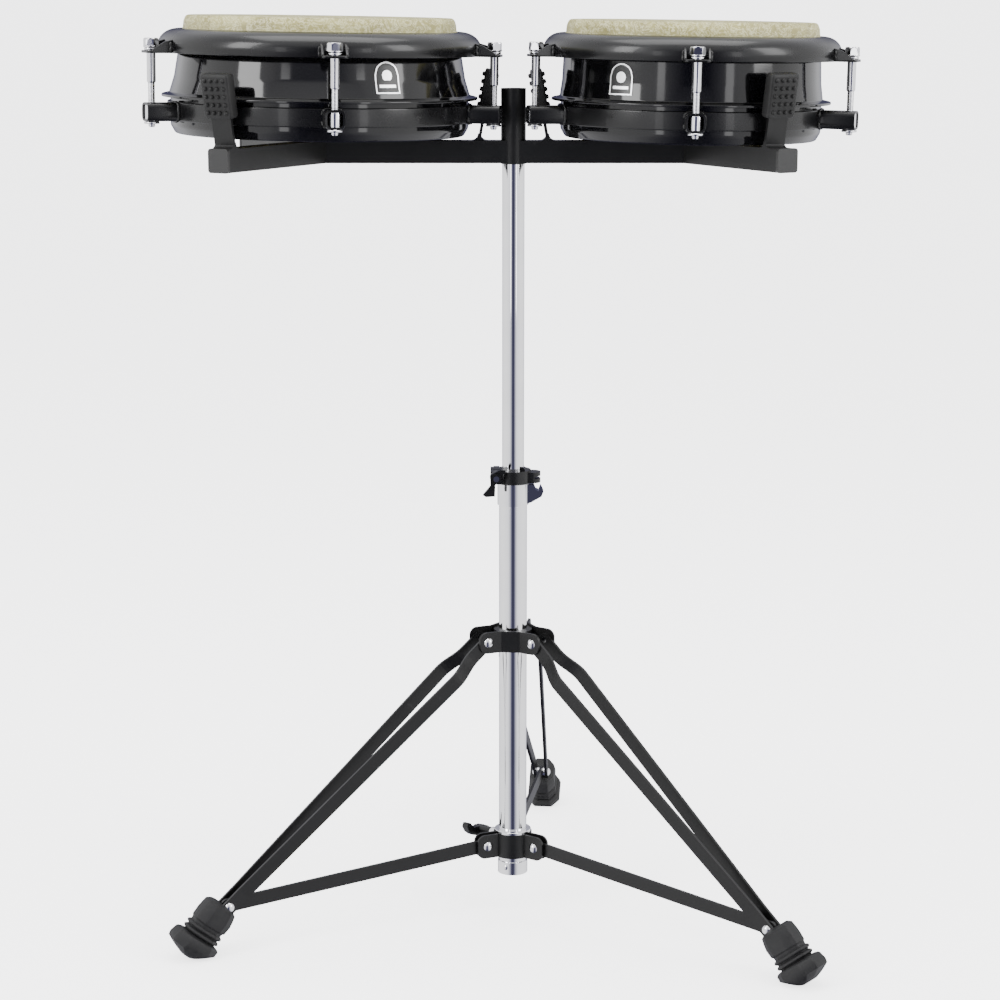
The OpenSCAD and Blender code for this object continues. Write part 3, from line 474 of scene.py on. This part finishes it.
def hoop_outline(d):
    """Section of the rolled hoop: a flange on the flesh ring, a broad roll outwards and a straight foot."""
    inner = d.head_r + 1.3
    sheet = 2.5
    foot = d.neck_r + 3.7
    high = d.hoop_high
    low = d.hoop_low
    roll_x = inner + 3
    roll_z = low + 7
    roll_r = d.hoop_r - inner - 3
    roll_h = high - low - 7

    def roll(shrink, angles):
        """Points on the quarter ellipse of the roll, shrunk for its inside."""
        return [(roll_x + (roll_r - shrink) * math.cos(a), roll_z + (roll_h - shrink) * math.sin(a))
                for a in angles]

    quarter = [math.pi / 2 * k / 14 for k in range(15)]
    inside = roll(sheet, quarter[:-1][::-1])
    outside = roll(0, quarter)
    flange = [(foot, low + 12.4), (foot + sheet, low + 12.4), (inner + 3.4, high - sheet)]
    straight = [
        (d.hoop_r - sheet, low + 0.4), (d.hoop_r - sheet + 0.5, low), (d.hoop_r - 0.5, low),
        (d.hoop_r, low + 0.5)]
    bend = [(inner + 1.2, high - 0.3), (inner, high - 1.4)]
    return flange + inside + straight + outside + bend


def build_hoop(d):
    bm = bmesh.new()
    lathe(bm, hoop_outline(d), d.at(), DRUM_SEGMENTS)
    hoop = make(f"{d.size}_hoop_rolled", bm, "satin_black_steel", d.body, sharp=50)
    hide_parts(f"{d.size}_hoop")
    for place, azimuth in d.rods.items():
        build_ear(d, place, azimuth)


def build_ear(d, place, azimuth):
    """A scoop welded to the hoop: floor, two cheeks that slope down to a thin lip, weld beads at the root."""
    root = d.hoop_r - 2
    low = d.hoop_low
    half = 12.5
    sheet = 2.4
    tip = d.tip_r - 0.2
    at = d.at(azimuth)
    bm = bmesh.new()
    floor = fillet([(root, -half), (tip, -half), (tip, half), (root, half)], [0, 5, 5, 0])
    extrude(bm, floor, sheet, at @ Matrix.Translation((0, 0, low + 0.05)))
    cheek = fillet(
        [(root, low + 0.1), (d.tip_r - 5, low + 0.1), (d.tip_r - 4, low + 3.4), (root + 8, low + 11),
         (root, low + 13)],
        [0, 0, 2, 6, 0])
    stand = Matrix(((1, 0, 0, 0), (0, 0, 1, 0), (0, 1, 0, 0), (0, 0, 0, 1)))
    for side in (-half, half - sheet):
        extrude(bm, cheek, sheet, at @ Matrix.Translation((0, side, 0)) @ stand)
    ear = make(f"{d.size}_ear_{place}", bm, "satin_black_steel", d.body, sharp=35)
    soften(ear, 0.6)
    bm = bmesh.new()
    for side in (-1, 1):
        path = []
        for k in range(8):
            r = d.hoop_r + 0.1 + 0.5 * math.sin(k * 1.3)
            path.append(at @ Vector((r, side * (half + 0.6), low + 1 + k * 1.35)))
        bead(bm, path)
    make(f"{d.size}_ear_weld_{place}", bm, "satin_black_steel", d.body, sharp=0, material=WELD)


def rounded_rectangle(width, height, radius):
    """A rectangle that stands on the X axis, with round corners."""
    half = width / 2
    return fillet([(-half, 0), (half, 0), (half, height), (-half, height)], radius)


def build_lug_ring(d):
    """The steel band under the lip, with the tube lugs welded on."""
    inner = d.bowl_r + 0.1
    outer = d.bowl_r + 3.1
    band = fillet(
        [(inner, d.ring_low), (outer, d.ring_low), (outer, d.ring_high), (inner, d.ring_high)],
        [0.4, 1.3, 1.3, 0.4], 5)
    bm = bmesh.new()
    lathe(bm, band, d.at(), DRUM_SEGMENTS)
    ring = make(f"{d.size}_lug_band", bm, "satin_black_steel", d.body, sharp=50)
    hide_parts(f"{d.size}_lug_ring")
    for place, azimuth in d.rods.items():
        build_lug(d, place, azimuth)


def build_lug(d, place, azimuth):
    """A stub of rounded rectangular tube, open outwards, with weld beads where it meets the band."""
    at = d.at(azimuth)
    root = d.bowl_r + 2.6
    tip = d.tip_r - 0.2
    width, wall = 19.0, 2.2
    height = d.ring_high - d.ring_low
    outside = rounded_rectangle(width, height, 6)
    inside = rounded_rectangle(width - 2 * wall, height - 2 * wall, 4)
    inside = [(x, z + wall) for x, z in inside]
    lip_out = [(x * 0.965, (z - height / 2) * 0.965 + height / 2) for x, z in outside]
    bm = bmesh.new()
    stations = [
        (root, outside), (tip - 0.7, outside), (tip, lip_out), (tip - 0.3, inside), (root + 4, inside)]
    loft(bm, [[tuple(at @ Vector((x, y, d.ring_low + z))) for y, z in ring] for x, ring in stations])
    make(f"{d.size}_lug_{place}", bm, "satin_black_steel", d.body, sharp=45)
    bm = bmesh.new()
    middle = height / 2
    path = [tuple(at @ Vector((root + 1.1, y * 1.03, d.ring_low + (z - middle) * 0.98 + middle)))
            for y, z in outside]
    bead(bm, path, closed=True)
    make(f"{d.size}_lug_weld_{place}", bm, "satin_black_steel", d.body, sharp=0, material=WELD)


def build_nut(d, place, azimuth):
    """A turned barrel nut with a flared foot."""
    low = d.ring_low
    high = d.ring_high - 2
    bore, foot, barrel = 3.45, 7.4, 6.3
    outline = fillet(
        [(bore, low - 2.4), (foot, low - 2.4), (foot, low - 0.7), (barrel, low + 0.3),
         (barrel, high), (bore, high)],
        [0.3, 0.9, 0.8, 1.4, 1.0, 0.3], 4)
    bm = bmesh.new()
    lathe(bm, outline, d.at(azimuth) @ Matrix.Translation((d.rod_r, 0, 0)), ROD_SEGMENTS)
    return make(
        f"{d.size}_barrel_nut_{place}", bm, "chrome_hardware", d.body, sharp=50)


def build_rod(d, place, azimuth):
    """A tension rod: washer, chamfered hexagon head, shank and a rolled thread."""
    node = f"{d.size}_rod_{place}"
    body = node + "_body"
    seat = d.hoop_low + 2.8
    low = d.ring_low - 5.5
    high = seat + 11.4
    place_rod = d.at(azimuth) @ Matrix.Translation((d.rod_r, 0, 0))
    bm = bmesh.new()
    washer = fillet([(4.4, seat), (6.6, seat), (6.6, seat + 2.3), (4.4, seat + 2.3)], [0.2, 0.8, 0.8, 0.2], 3)
    lathe(bm, washer, place_rod, ROD_SEGMENTS)
    make(f"{node}_washer", bm, "chrome_hardware", body, sharp=50)

    bm = bmesh.new()
    shank = 4.3
    flange = 7.4
    neck = d.thread_top
    outline = fillet(
        [(0, neck), (3.3, neck), (shank, neck + 1.2), (shank, seat + 2.4), (7.0, seat + 2.5),
         (flange, seat + 3.4), (flange, seat + 4), (0, seat + 4)],
        [0, 0, 0.4, 0.4, 0.3, 0.3, 0.1, 0], 3)
    lathe(bm, outline, place_rod, ROD_SEGMENTS)
    hexagon(bm, flange, seat + 3.8, high, place_rod)
    upper = make(f"{node}_head", bm, "chrome_hardware", body, sharp=30)

    bm = bmesh.new()
    thread(bm, low, neck + 0.6, place_rod)
    make(f"{node}_thread", bm, "chrome_hardware", body, sharp=60)
    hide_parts(node)


def hexagon(bm, radius, low, high, place):
    """A hexagon head whose top corners are turned off and whose top is slightly dished."""
    sides = 6
    per_side = 8
    corner = math.cos(math.pi / sides)

    def ring(scale, limit, z):
        """A scaled hexagon at a height, with its corners held within a limit radius."""
        points = []
        for k in range(sides * per_side):
            a = 2 * math.pi * k / (sides * per_side)
            local = (a + math.pi / sides) % (2 * math.pi / sides) - math.pi / sides
            r = min(radius * corner / math.cos(local) * scale, limit)
            points.append(tuple(place @ Vector((r * math.cos(a), r * math.sin(a), z))))
        return points

    loft(bm, [
        ring(1, radius, low), ring(1, radius, high - 1.6), ring(1, radius * 0.955, high - 0.7),
        ring(1, radius * 0.87, high), ring(0.5, radius * 0.5, high), ring(0.42, radius * 0.42, high - 0.5)])


def thread(bm, low, high, place):
    """A helical thread as a wrapped surface whose radius follows the screw line, faded out at its foot."""
    radius, depth, pitch = 3.4, 0.42, 1.25
    around = 20
    rows_per_pitch = 6
    lead_in = 1.2
    rows = int((high - low) / pitch * rows_per_pitch)
    rings = []
    for i in range(rows + 1):
        z = low + (high - low) * i / rows
        fade = min(1.0, (z - low) / lead_in)
        ring = []
        for k in range(around):
            a = 2 * math.pi * k / around
            phase = (z / pitch - k / around) % 1.0
            r = radius - depth * (fade * (abs(phase - 0.5) * 2) + 1 - fade) - 0.5 * (1 - fade)
            ring.append(tuple(place @ Vector((r * math.cos(a), r * math.sin(a), z))))
        rings.append(ring)
    loft(bm, rings)


def build_badge(d):
    """A plain arched badge: a silver rim round a black field with a plain silver disc and bar."""
    node = f"{d.size}_badge"
    middle = d.lean.inverted() @ (centre_of(node) - d.centre)
    azimuth = math.atan2(middle.y, middle.x)
    bottom = 45.0
    height = 29.5
    half_width = 12.5
    waist_z = d.lip_z + WAIST_RISE
    waist_r = (d.bowl_r + d.neck_r) / 2
    taper_height = 16
    at = d.at()

    def skin_r(z):
        """The shell's radius at a height, above or below the waist."""
        if z < waist_z:
            return waist_r + (d.bowl_r + 1.2 - waist_r) * (waist_z - z) / taper_height
        return waist_r + (d.neck_r - waist_r) * (z - waist_z) / (d.hoop_low - waist_z)

    def plate(name, shrink, lift, thick, material, shape=None):
        """A thin plate wrapped on the shell: the badge's own arch, shrunk, or else a given shape."""
        half = half_width - shrink
        straight = height - half_width - shrink
        arch = [(half * math.cos(a), straight + shrink + half * math.sin(a))
                for a in [math.pi * k / 24 for k in range(25)]]
        outline = shape or [(-half, shrink), (half, shrink)] + arch
        bm = bmesh.new()
        quads = grid_fill([Vector((u, v)) for u, v in outline], columns=14, rows=4)
        verts = {}

        def vertex(u, v, h):
            """The one vertex at a flat place and height over the shell."""
            key = (round(u, 4), round(v, 4), h)
            if key not in verts:
                z = bottom + v
                r = skin_r(z) + h
                a = azimuth + u / skin_r(z)
                verts[key] = bm.verts.new(at @ Vector((r * math.cos(a), r * math.sin(a), z)) * MM)
            return verts[key]

        for quad in quads:
            for h, flip in ((lift + thick, 1), (lift, -1)):
                corners = [vertex(u, v, h) for u, v in quad][::flip]
                if len(set(corners)) > 2:
                    bm.faces.new(list(dict.fromkeys(corners)))
        edges = [e for e in bm.edges if len(e.link_faces) == 1]
        bmesh.ops.bridge_loops(bm, edges=edges)
        return make(f"{node}_{name}", bm, "badge_metal", d.body, sharp=40, material=material)

    silver = MATERIALS["badge_metal"]
    rim = plate("rim", shrink=0.0, lift=0.15, thick=0.6, material=silver)
    plate("field", shrink=1.3, lift=0.75, thick=0.1, material=BADGE_DARK)
    disc_r = 5.2
    disc = [(disc_r * math.cos(a), height * 0.56 + disc_r * math.sin(a))
            for a in [2 * math.pi * k / 32 for k in range(32)]]
    plate("disc", shrink=0, lift=0.86, thick=0.12, material=silver, shape=disc)
    bar = [(-8.5, 5.5), (8.5, 5.5), (8.5, 8.2), (-8.5, 8.2)]
    plate("bar", shrink=0, lift=0.86, thick=0.12, material=silver, shape=bar)
    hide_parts(node)


def grid_fill(outline, columns, rows):
    """Splits a convex outline into columns of quads, so that it can be wrapped round a cylinder."""
    xs = [p.x for p in outline]
    low, high = min(xs), max(xs)
    cuts = [low + (high - low) * k / columns for k in range(columns + 1)]

    def span(x):
        """The lowest and highest points of the outline at x."""
        ys = []
        for i, p in enumerate(outline):
            q = outline[(i + 1) % len(outline)]
            if min(p.x, q.x) - 1e-6 <= x <= max(p.x, q.x) + 1e-6:
                if abs(p.x - q.x) < 1e-9:
                    ys += [p.y, q.y]
                else:
                    ys.append(p.y + (q.y - p.y) * (x - p.x) / (q.x - p.x))
        return min(ys), max(ys)

    quads = []
    for a, b in zip(cuts, cuts[1:]):
        (a0, a1), (b0, b1) = span(a), span(b)
        for r in range(rows):
            s, t = r / rows, (r + 1) / rows
            quads.append([
                (a, a0 + (a1 - a0) * s), (b, b0 + (b1 - b0) * s),
                (b, b0 + (b1 - b0) * t), (a, a0 + (a1 - a0) * t)])
    return quads


def build_drum(size):
    d = Drum(size)
    build_shell(d)
    build_head(d)
    build_hoop(d)
    build_lug_ring(d)
    first_nut = None
    for place, azimuth in d.rods.items():
        nut = build_nut(d, place, azimuth)
        first_nut = first_nut or nut
        build_rod(d, place, azimuth)
    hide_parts(f"{size}_lug_nuts")
    build_badge(d)
    return d


DRUMS = [build_drum("large"), build_drum("small")]

# ---------------------------------------------------------------- clip pads

# Each clip's azimuth (degrees) and its shift to the side
CLIPS = {
    "large": [(0, 2), (240, 0), (120, 0)],
    "small": [(180, 0), (-60, 0), (60, 6)],
}
PAD_LOW = low_of("large_pads").z
PAD_LEAN = math.radians(10)
PAD_WIDTH, PAD_HEIGHT, PAD_THICK = 32.0, 41.0, 12.0
# A dome's height, and the gap from the lip to the domes at the height where a pad meets it
DOME_HEIGHT = 2.4
LIP_GAP = 1.4
MEET_Z = 36.8
DOME_ROWS, DOME_ROW_PITCH, FIRST_DOME_ROW = 5, 7.5, 5.5
DOME_COLUMNS, DOME_COLUMN_PITCH = 4, 6.8


def build_pads(d):
    """The three pads of a drum: soft blocks with rows of domes inside and outside."""
    centre_r = (d.lip_r + LIP_GAP + (PAD_THICK / 2 + DOME_HEIGHT) / math.cos(PAD_LEAN)
                - (d.centre.z + MEET_Z - PAD_LOW) * math.tan(PAD_LEAN))
    # Heights up a block and how full its section is there
    bulge = [(0.0, 0.86), (1.2, 0.95), (3.0, 1.0),
             (PAD_HEIGHT - 3.0, 1.0), (PAD_HEIGHT - 1.2, 0.95), (PAD_HEIGHT, 0.84)]
    dome = fillet(
        [(0, -0.6), (2.1, -0.6), (2.1, 0.2), (1.75, 1.6), (1.0, 2.3), (0, 2.35)],
        [0, 0, 0.5, 0.9, 1.0, 0], 3)
    first = None
    for number, (azimuth, shift) in enumerate(CLIPS[d.size]):
        place = (turned(math.radians(azimuth), Vector((d.centre.x, d.centre.y, 0)))
                 @ Matrix.Translation((centre_r, shift, PAD_LOW)) @ Matrix.Rotation(PAD_LEAN, 4, "Y"))
        bm = bmesh.new()
        sections = []
        for z, grow in bulge:
            w = PAD_WIDTH / 2 * (1 - (1 - grow) * 0.5)
            t = PAD_THICK / 2 * grow
            outline = fillet([(-t, -w), (t, -w), (t, w), (-t, w)], 3.2, 5)
            sections.append([tuple(place @ Vector((x, y, z))) for x, y in outline])
        loft(bm, sections)
        block = make(
            f"{d.size}_pad_{number}", bm, "pad_rubber", "cradle", sharp=45)
        bm = bmesh.new()
        for side in (-1, 1):
            for row in range(DOME_ROWS):
                for column in range(DOME_COLUMNS):
                    y = (column - (DOME_COLUMNS - 1) / 2) * DOME_COLUMN_PITCH
                    z = FIRST_DOME_ROW + row * DOME_ROW_PITCH
                    spot = (place @ Matrix.Translation((side * PAD_THICK / 2, y, z))
                            @ Matrix.Rotation(side * math.pi / 2, 4, "Y"))
                    lathe(bm, dome, spot, DOME_SEGMENTS)
        make(f"{d.size}_pad_domes_{number}", bm, "pad_rubber", "cradle", sharp=60)
        first = first or block
    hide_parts(f"{d.size}_pads")


for drum in DRUMS:
    build_pads(drum)

# ---------------------------------------------------------------- boots

# Stations along a boot: distance, width across the leg, height in the leg's plane, offset of the middle
BLOCK = [
    (0, 19, 24, -1), (0.8, 22, 27, -1.1), (3.2, 28, 33, -1.5), (9, 29.2, 35.4, -1.8), (15, 30, 37, -2),
    (23.6, 28.6, 36.4, -1.6), (25, 26.4, 33.6, -1.3), (28, 26, 33, -1.3)]
RIB = [
    (0, 27.5, 34.5), (0.9, 29.6, 37), (1.9, 30.4, 38), (2.9, 30.2, 37.8), (3.8, 28.6, 36),
    (4.4, 26.6, 33.6), (5.2, 26, 33)]
RIB_STARTS = (28.4, 34.0)
RIB_OFFSET = -1.3
FOOT = [
    (39.8, 31, 40, -1), (40.6, 34.4, 44.6, -0.8), (42.2, 36.6, 47.6, -0.7), (48.6, 38, 50, -0.3),
    (50.2, 37.6, 48.6, 0.6), (54, 35.6, 40.8, 3.8), (57.6, 30.6, 28.6, 2.2), (59.6, 25, 20, 1.4),
    (61.2, 18, 11.6, 1)]
RIBS = [(start + x, width, height, RIB_OFFSET) for start in RIB_STARTS for x, width, height in RIB]
BOOT = BLOCK + RIBS + FOOT
BOOT_SLOPE = math.radians(51)
# Where a boot starts, outwards and up from its leg's pivot
BOOT_OUT, BOOT_UP = 6.5, 3


def build_boot(name):
    """A moulded boot: chamfered block, two ribs on a neck, flared foot, cut flat where it stands."""
    joint = JOINTS[f"{name}_leg_fold"]
    across = Vector(joint["axis"])
    outward = Vector((across.y, -across.x, 0))
    up = Vector((0, 0, 1))
    along = outward * math.cos(BOOT_SLOPE) - up * math.sin(BOOT_SLOPE)
    rise = outward * math.sin(BOOT_SLOPE) + up * math.cos(BOOT_SLOPE)
    start = Vector(joint["pos_m"]) / MM + outward * BOOT_OUT + up * BOOT_UP
    sections = []
    for x, width, height, offset in BOOT:
        a, b = width / 2, height / 2
        outline = fillet([(-a, -b / 2), (-a / 2, -b), (a / 2, -b), (a, -b / 2),
                          (a, b / 2), (a / 2, b), (-a / 2, b), (-a, b / 2)], 2.6, 3)
        ring = []
        for u, v in outline:
            point = start + along * x + across * u + rise * (v + offset)
            ring.append((point.x, point.y, max(point.z, 0.0)))
        sections.append(ring)
    bm = bmesh.new()
    loft(bm, sections)
    boot = make(f"{name}_boot_moulded", bm, "boot_rubber", f"{name}_leg", sharp=32)
    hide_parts(f"boot_{name}")


for leg in ("back", "left", "right"):
    build_boot(leg)

# ---------------------------------------------------------------- tubes

TUBE_WALL = 1.6


def build_tube(name, node, body):
    """A drawn chrome tube with softly broken edges."""
    low, high = low_of(node), high_of(node)
    outer = (high.x - low.x) / 2
    inner = outer - TUBE_WALL
    outline = fillet(
        [(inner, low.z), (outer, low.z), (outer, high.z), (inner, high.z)], [0.4, 0.6, 0.6, 0.4], 3)
    bm = bmesh.new()
    lathe(bm, outline, Matrix.Translation((MAST.x, MAST.y, 0)), TUBE_SEGMENTS)
    tube = make(name, bm, "chrome_tube", body, sharp=50)
    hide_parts(node)


build_tube("mast_upper_chrome", "upper_tube", "mast")
build_tube("mast_lower_chrome", "lower_tube", "stand")

# ---------------------------------------------------------------- CAD nodes that stay

# The bevel on the CAD edges of each material, in millimetres
EDGE = {
    "boot_rubber": 1.6, "pad_rubber": 0.6, "black_plastic": 0.8, "black_cast_metal": 0.9,
    "black_stand_steel": 0.7, "chrome_tube": 0.6, "chrome_hardware": 0.3,
}
for part in frame["record"]["subparts"]:
    obj = nodes[part["node"]]
    slot_name = part["material_slot"]
    for material_slot in obj.material_slots:
        material_slot.material = MATERIALS[slot_name]
    if slot_name in EDGE and not obj.hide_render:
        soften(obj, EDGE[slot_name])

# ---------------------------------------------------------------- stage, light and camera

# Metres here, as in the rest of the stage. The sky behind matches the glowing floor.
FLOOR_RADIUS = 900.0
FLOOR_DROP = 0.0005
FLOOR_COLOUR = (0.93, 0.93, 0.935)
FLOOR_GLOW = 2.4
SKY_GLOW = FLOOR_GLOW + 1.1
LIGHT_STRENGTH = 1.9


def build_floor():
    """A pale floor that glows a little and is left out of reflections, so that chrome keeps its darks."""
    bm = bmesh.new()
    bmesh.ops.create_circle(bm, cap_ends=True, segments=96, radius=FLOOR_RADIUS)
    mesh = bpy.data.meshes.new("floor")
    bm.to_mesh(mesh)
    bm.free()
    n = Nodes("pale_floor")
    n.set(Roughness=0.75, Emission_Color=(1.0, 1.0, 1.0, 1.0), Emission_Strength=FLOOR_GLOW)
    tone = n.noise(1.2, detail=2.0)
    shade = n.ramp(tone, "Fac", [(0.3, tuple(c * 0.985 for c in FLOOR_COLOUR)), (0.7, FLOOR_COLOUR)])
    n.link(shade, "Color", n.shader, "Base Color")
    mesh.materials.append(n.material)
    floor = bpy.data.objects.new("floor", mesh)
    bpy.context.collection.objects.link(floor)
    floor.location.z = -FLOOR_DROP
    floor.visible_glossy = False


def build_world():
    """A pale studio: plain to the eye, with a darker strip in front and bright sides in reflections."""
    world = bpy.data.worlds.new("studio")
    bpy.context.scene.world = world
    world.use_nodes = True
    tree = world.node_tree
    tree.nodes.clear()
    coords = tree.nodes.new("ShaderNodeTexCoord")
    split = tree.nodes.new("ShaderNodeSeparateXYZ")
    tree.links.new(coords.outputs["Generated"], split.inputs[0])
    across = tree.nodes.new("ShaderNodeMath")
    across.operation = "ABSOLUTE"
    tree.links.new(split.outputs["X"], across.inputs[0])
    bright = tree.nodes.new("ShaderNodeMath")
    bright.operation = "MAXIMUM"
    tree.links.new(across.outputs[0], bright.inputs[0])
    tree.links.new(split.outputs["Z"], bright.inputs[1])
    ramp = tree.nodes.new("ShaderNodeValToRGB")
    elements = ramp.color_ramp.elements
    elements[0].position = 0.0
    elements[0].color = (0.03, 0.03, 0.05, 1)
    elements[1].position = 1.0
    elements[1].color = (1.0, 1.0, 1.0, 1)
    for place, value in ((0.18, (0.05, 0.05, 0.09)), (0.34, (0.30, 0.30, 0.35)), (0.6, (0.85, 0.85, 0.88))):
        element = elements.new(place)
        element.color = (*value, 1)
    tree.links.new(bright.outputs[0], ramp.inputs["Fac"])
    light = tree.nodes.new("ShaderNodeBackground")
    tree.links.new(ramp.outputs["Color"], light.inputs["Color"])
    light.inputs["Strength"].default_value = LIGHT_STRENGTH
    seen = tree.nodes.new("ShaderNodeBackground")
    seen.inputs["Color"].default_value = (1.0, 1.0, 1.005, 1)
    seen.inputs["Strength"].default_value = SKY_GLOW
    path = tree.nodes.new("ShaderNodeLightPath")
    mix = tree.nodes.new("ShaderNodeMixShader")
    tree.links.new(path.outputs["Is Camera Ray"], mix.inputs["Fac"])
    tree.links.new(light.outputs[0], mix.inputs[1])
    tree.links.new(seen.outputs[0], mix.inputs[2])
    out = tree.nodes.new("ShaderNodeOutputWorld")
    tree.links.new(mix.outputs[0], out.inputs["Surface"])


def area_light(name, place, target, size, power):
    """A rectangular light that looks at a target."""
    data = bpy.data.lights.new(name, "AREA")
    data.shape = "RECTANGLE"
    data.size, data.size_y = size
    data.energy = power
    light = bpy.data.objects.new(name, data)
    bpy.context.collection.objects.link(light)
    light.location = place
    light.rotation_euler = (Vector(target) - Vector(place)).to_track_quat("-Z", "Y").to_euler()


CAMERA_LEFT = 0.0133
CAMERA_BACK = 2.470
CAMERA_HEIGHT = 0.943
CAMERA_PITCH = math.radians(11.555)
LENS = 88.92
SENSOR = 36.0


def build_camera():
    """The photo's camera, placed from the mast."""
    data = bpy.data.cameras.new("camera")
    data.lens = LENS
    data.sensor_width = SENSOR
    camera = bpy.data.objects.new("camera", data)
    bpy.context.collection.objects.link(camera)
    camera.location = (MAST.x * MM - CAMERA_LEFT, MAST.y * MM - CAMERA_BACK, CAMERA_HEIGHT)
    camera.rotation_euler = (math.pi / 2 - CAMERA_PITCH, 0, 0)
    bpy.context.scene.camera = camera


build_floor()
build_world()
area_light("key_left", (-2.2, -1.6, 2.0), (0, 0, 0.7), (0.9, 1.8), 60)
area_light("key_right", (2.3, -1.3, 1.8), (0, 0, 0.7), (0.9, 1.8), 45)
area_light("top", (0, -0.2, 3.0), (0, 0, 0.5), (2.4, 1.6), 60)
area_light("strip_left", (-1.1, -2.3, 1.0), (0, 0, 0.8), (0.3, 1.2), 4)
area_light("strip_right", (1.35, -2.2, 1.0), (0, 0, 0.8), (0.3, 1.2), 4)
build_camera()
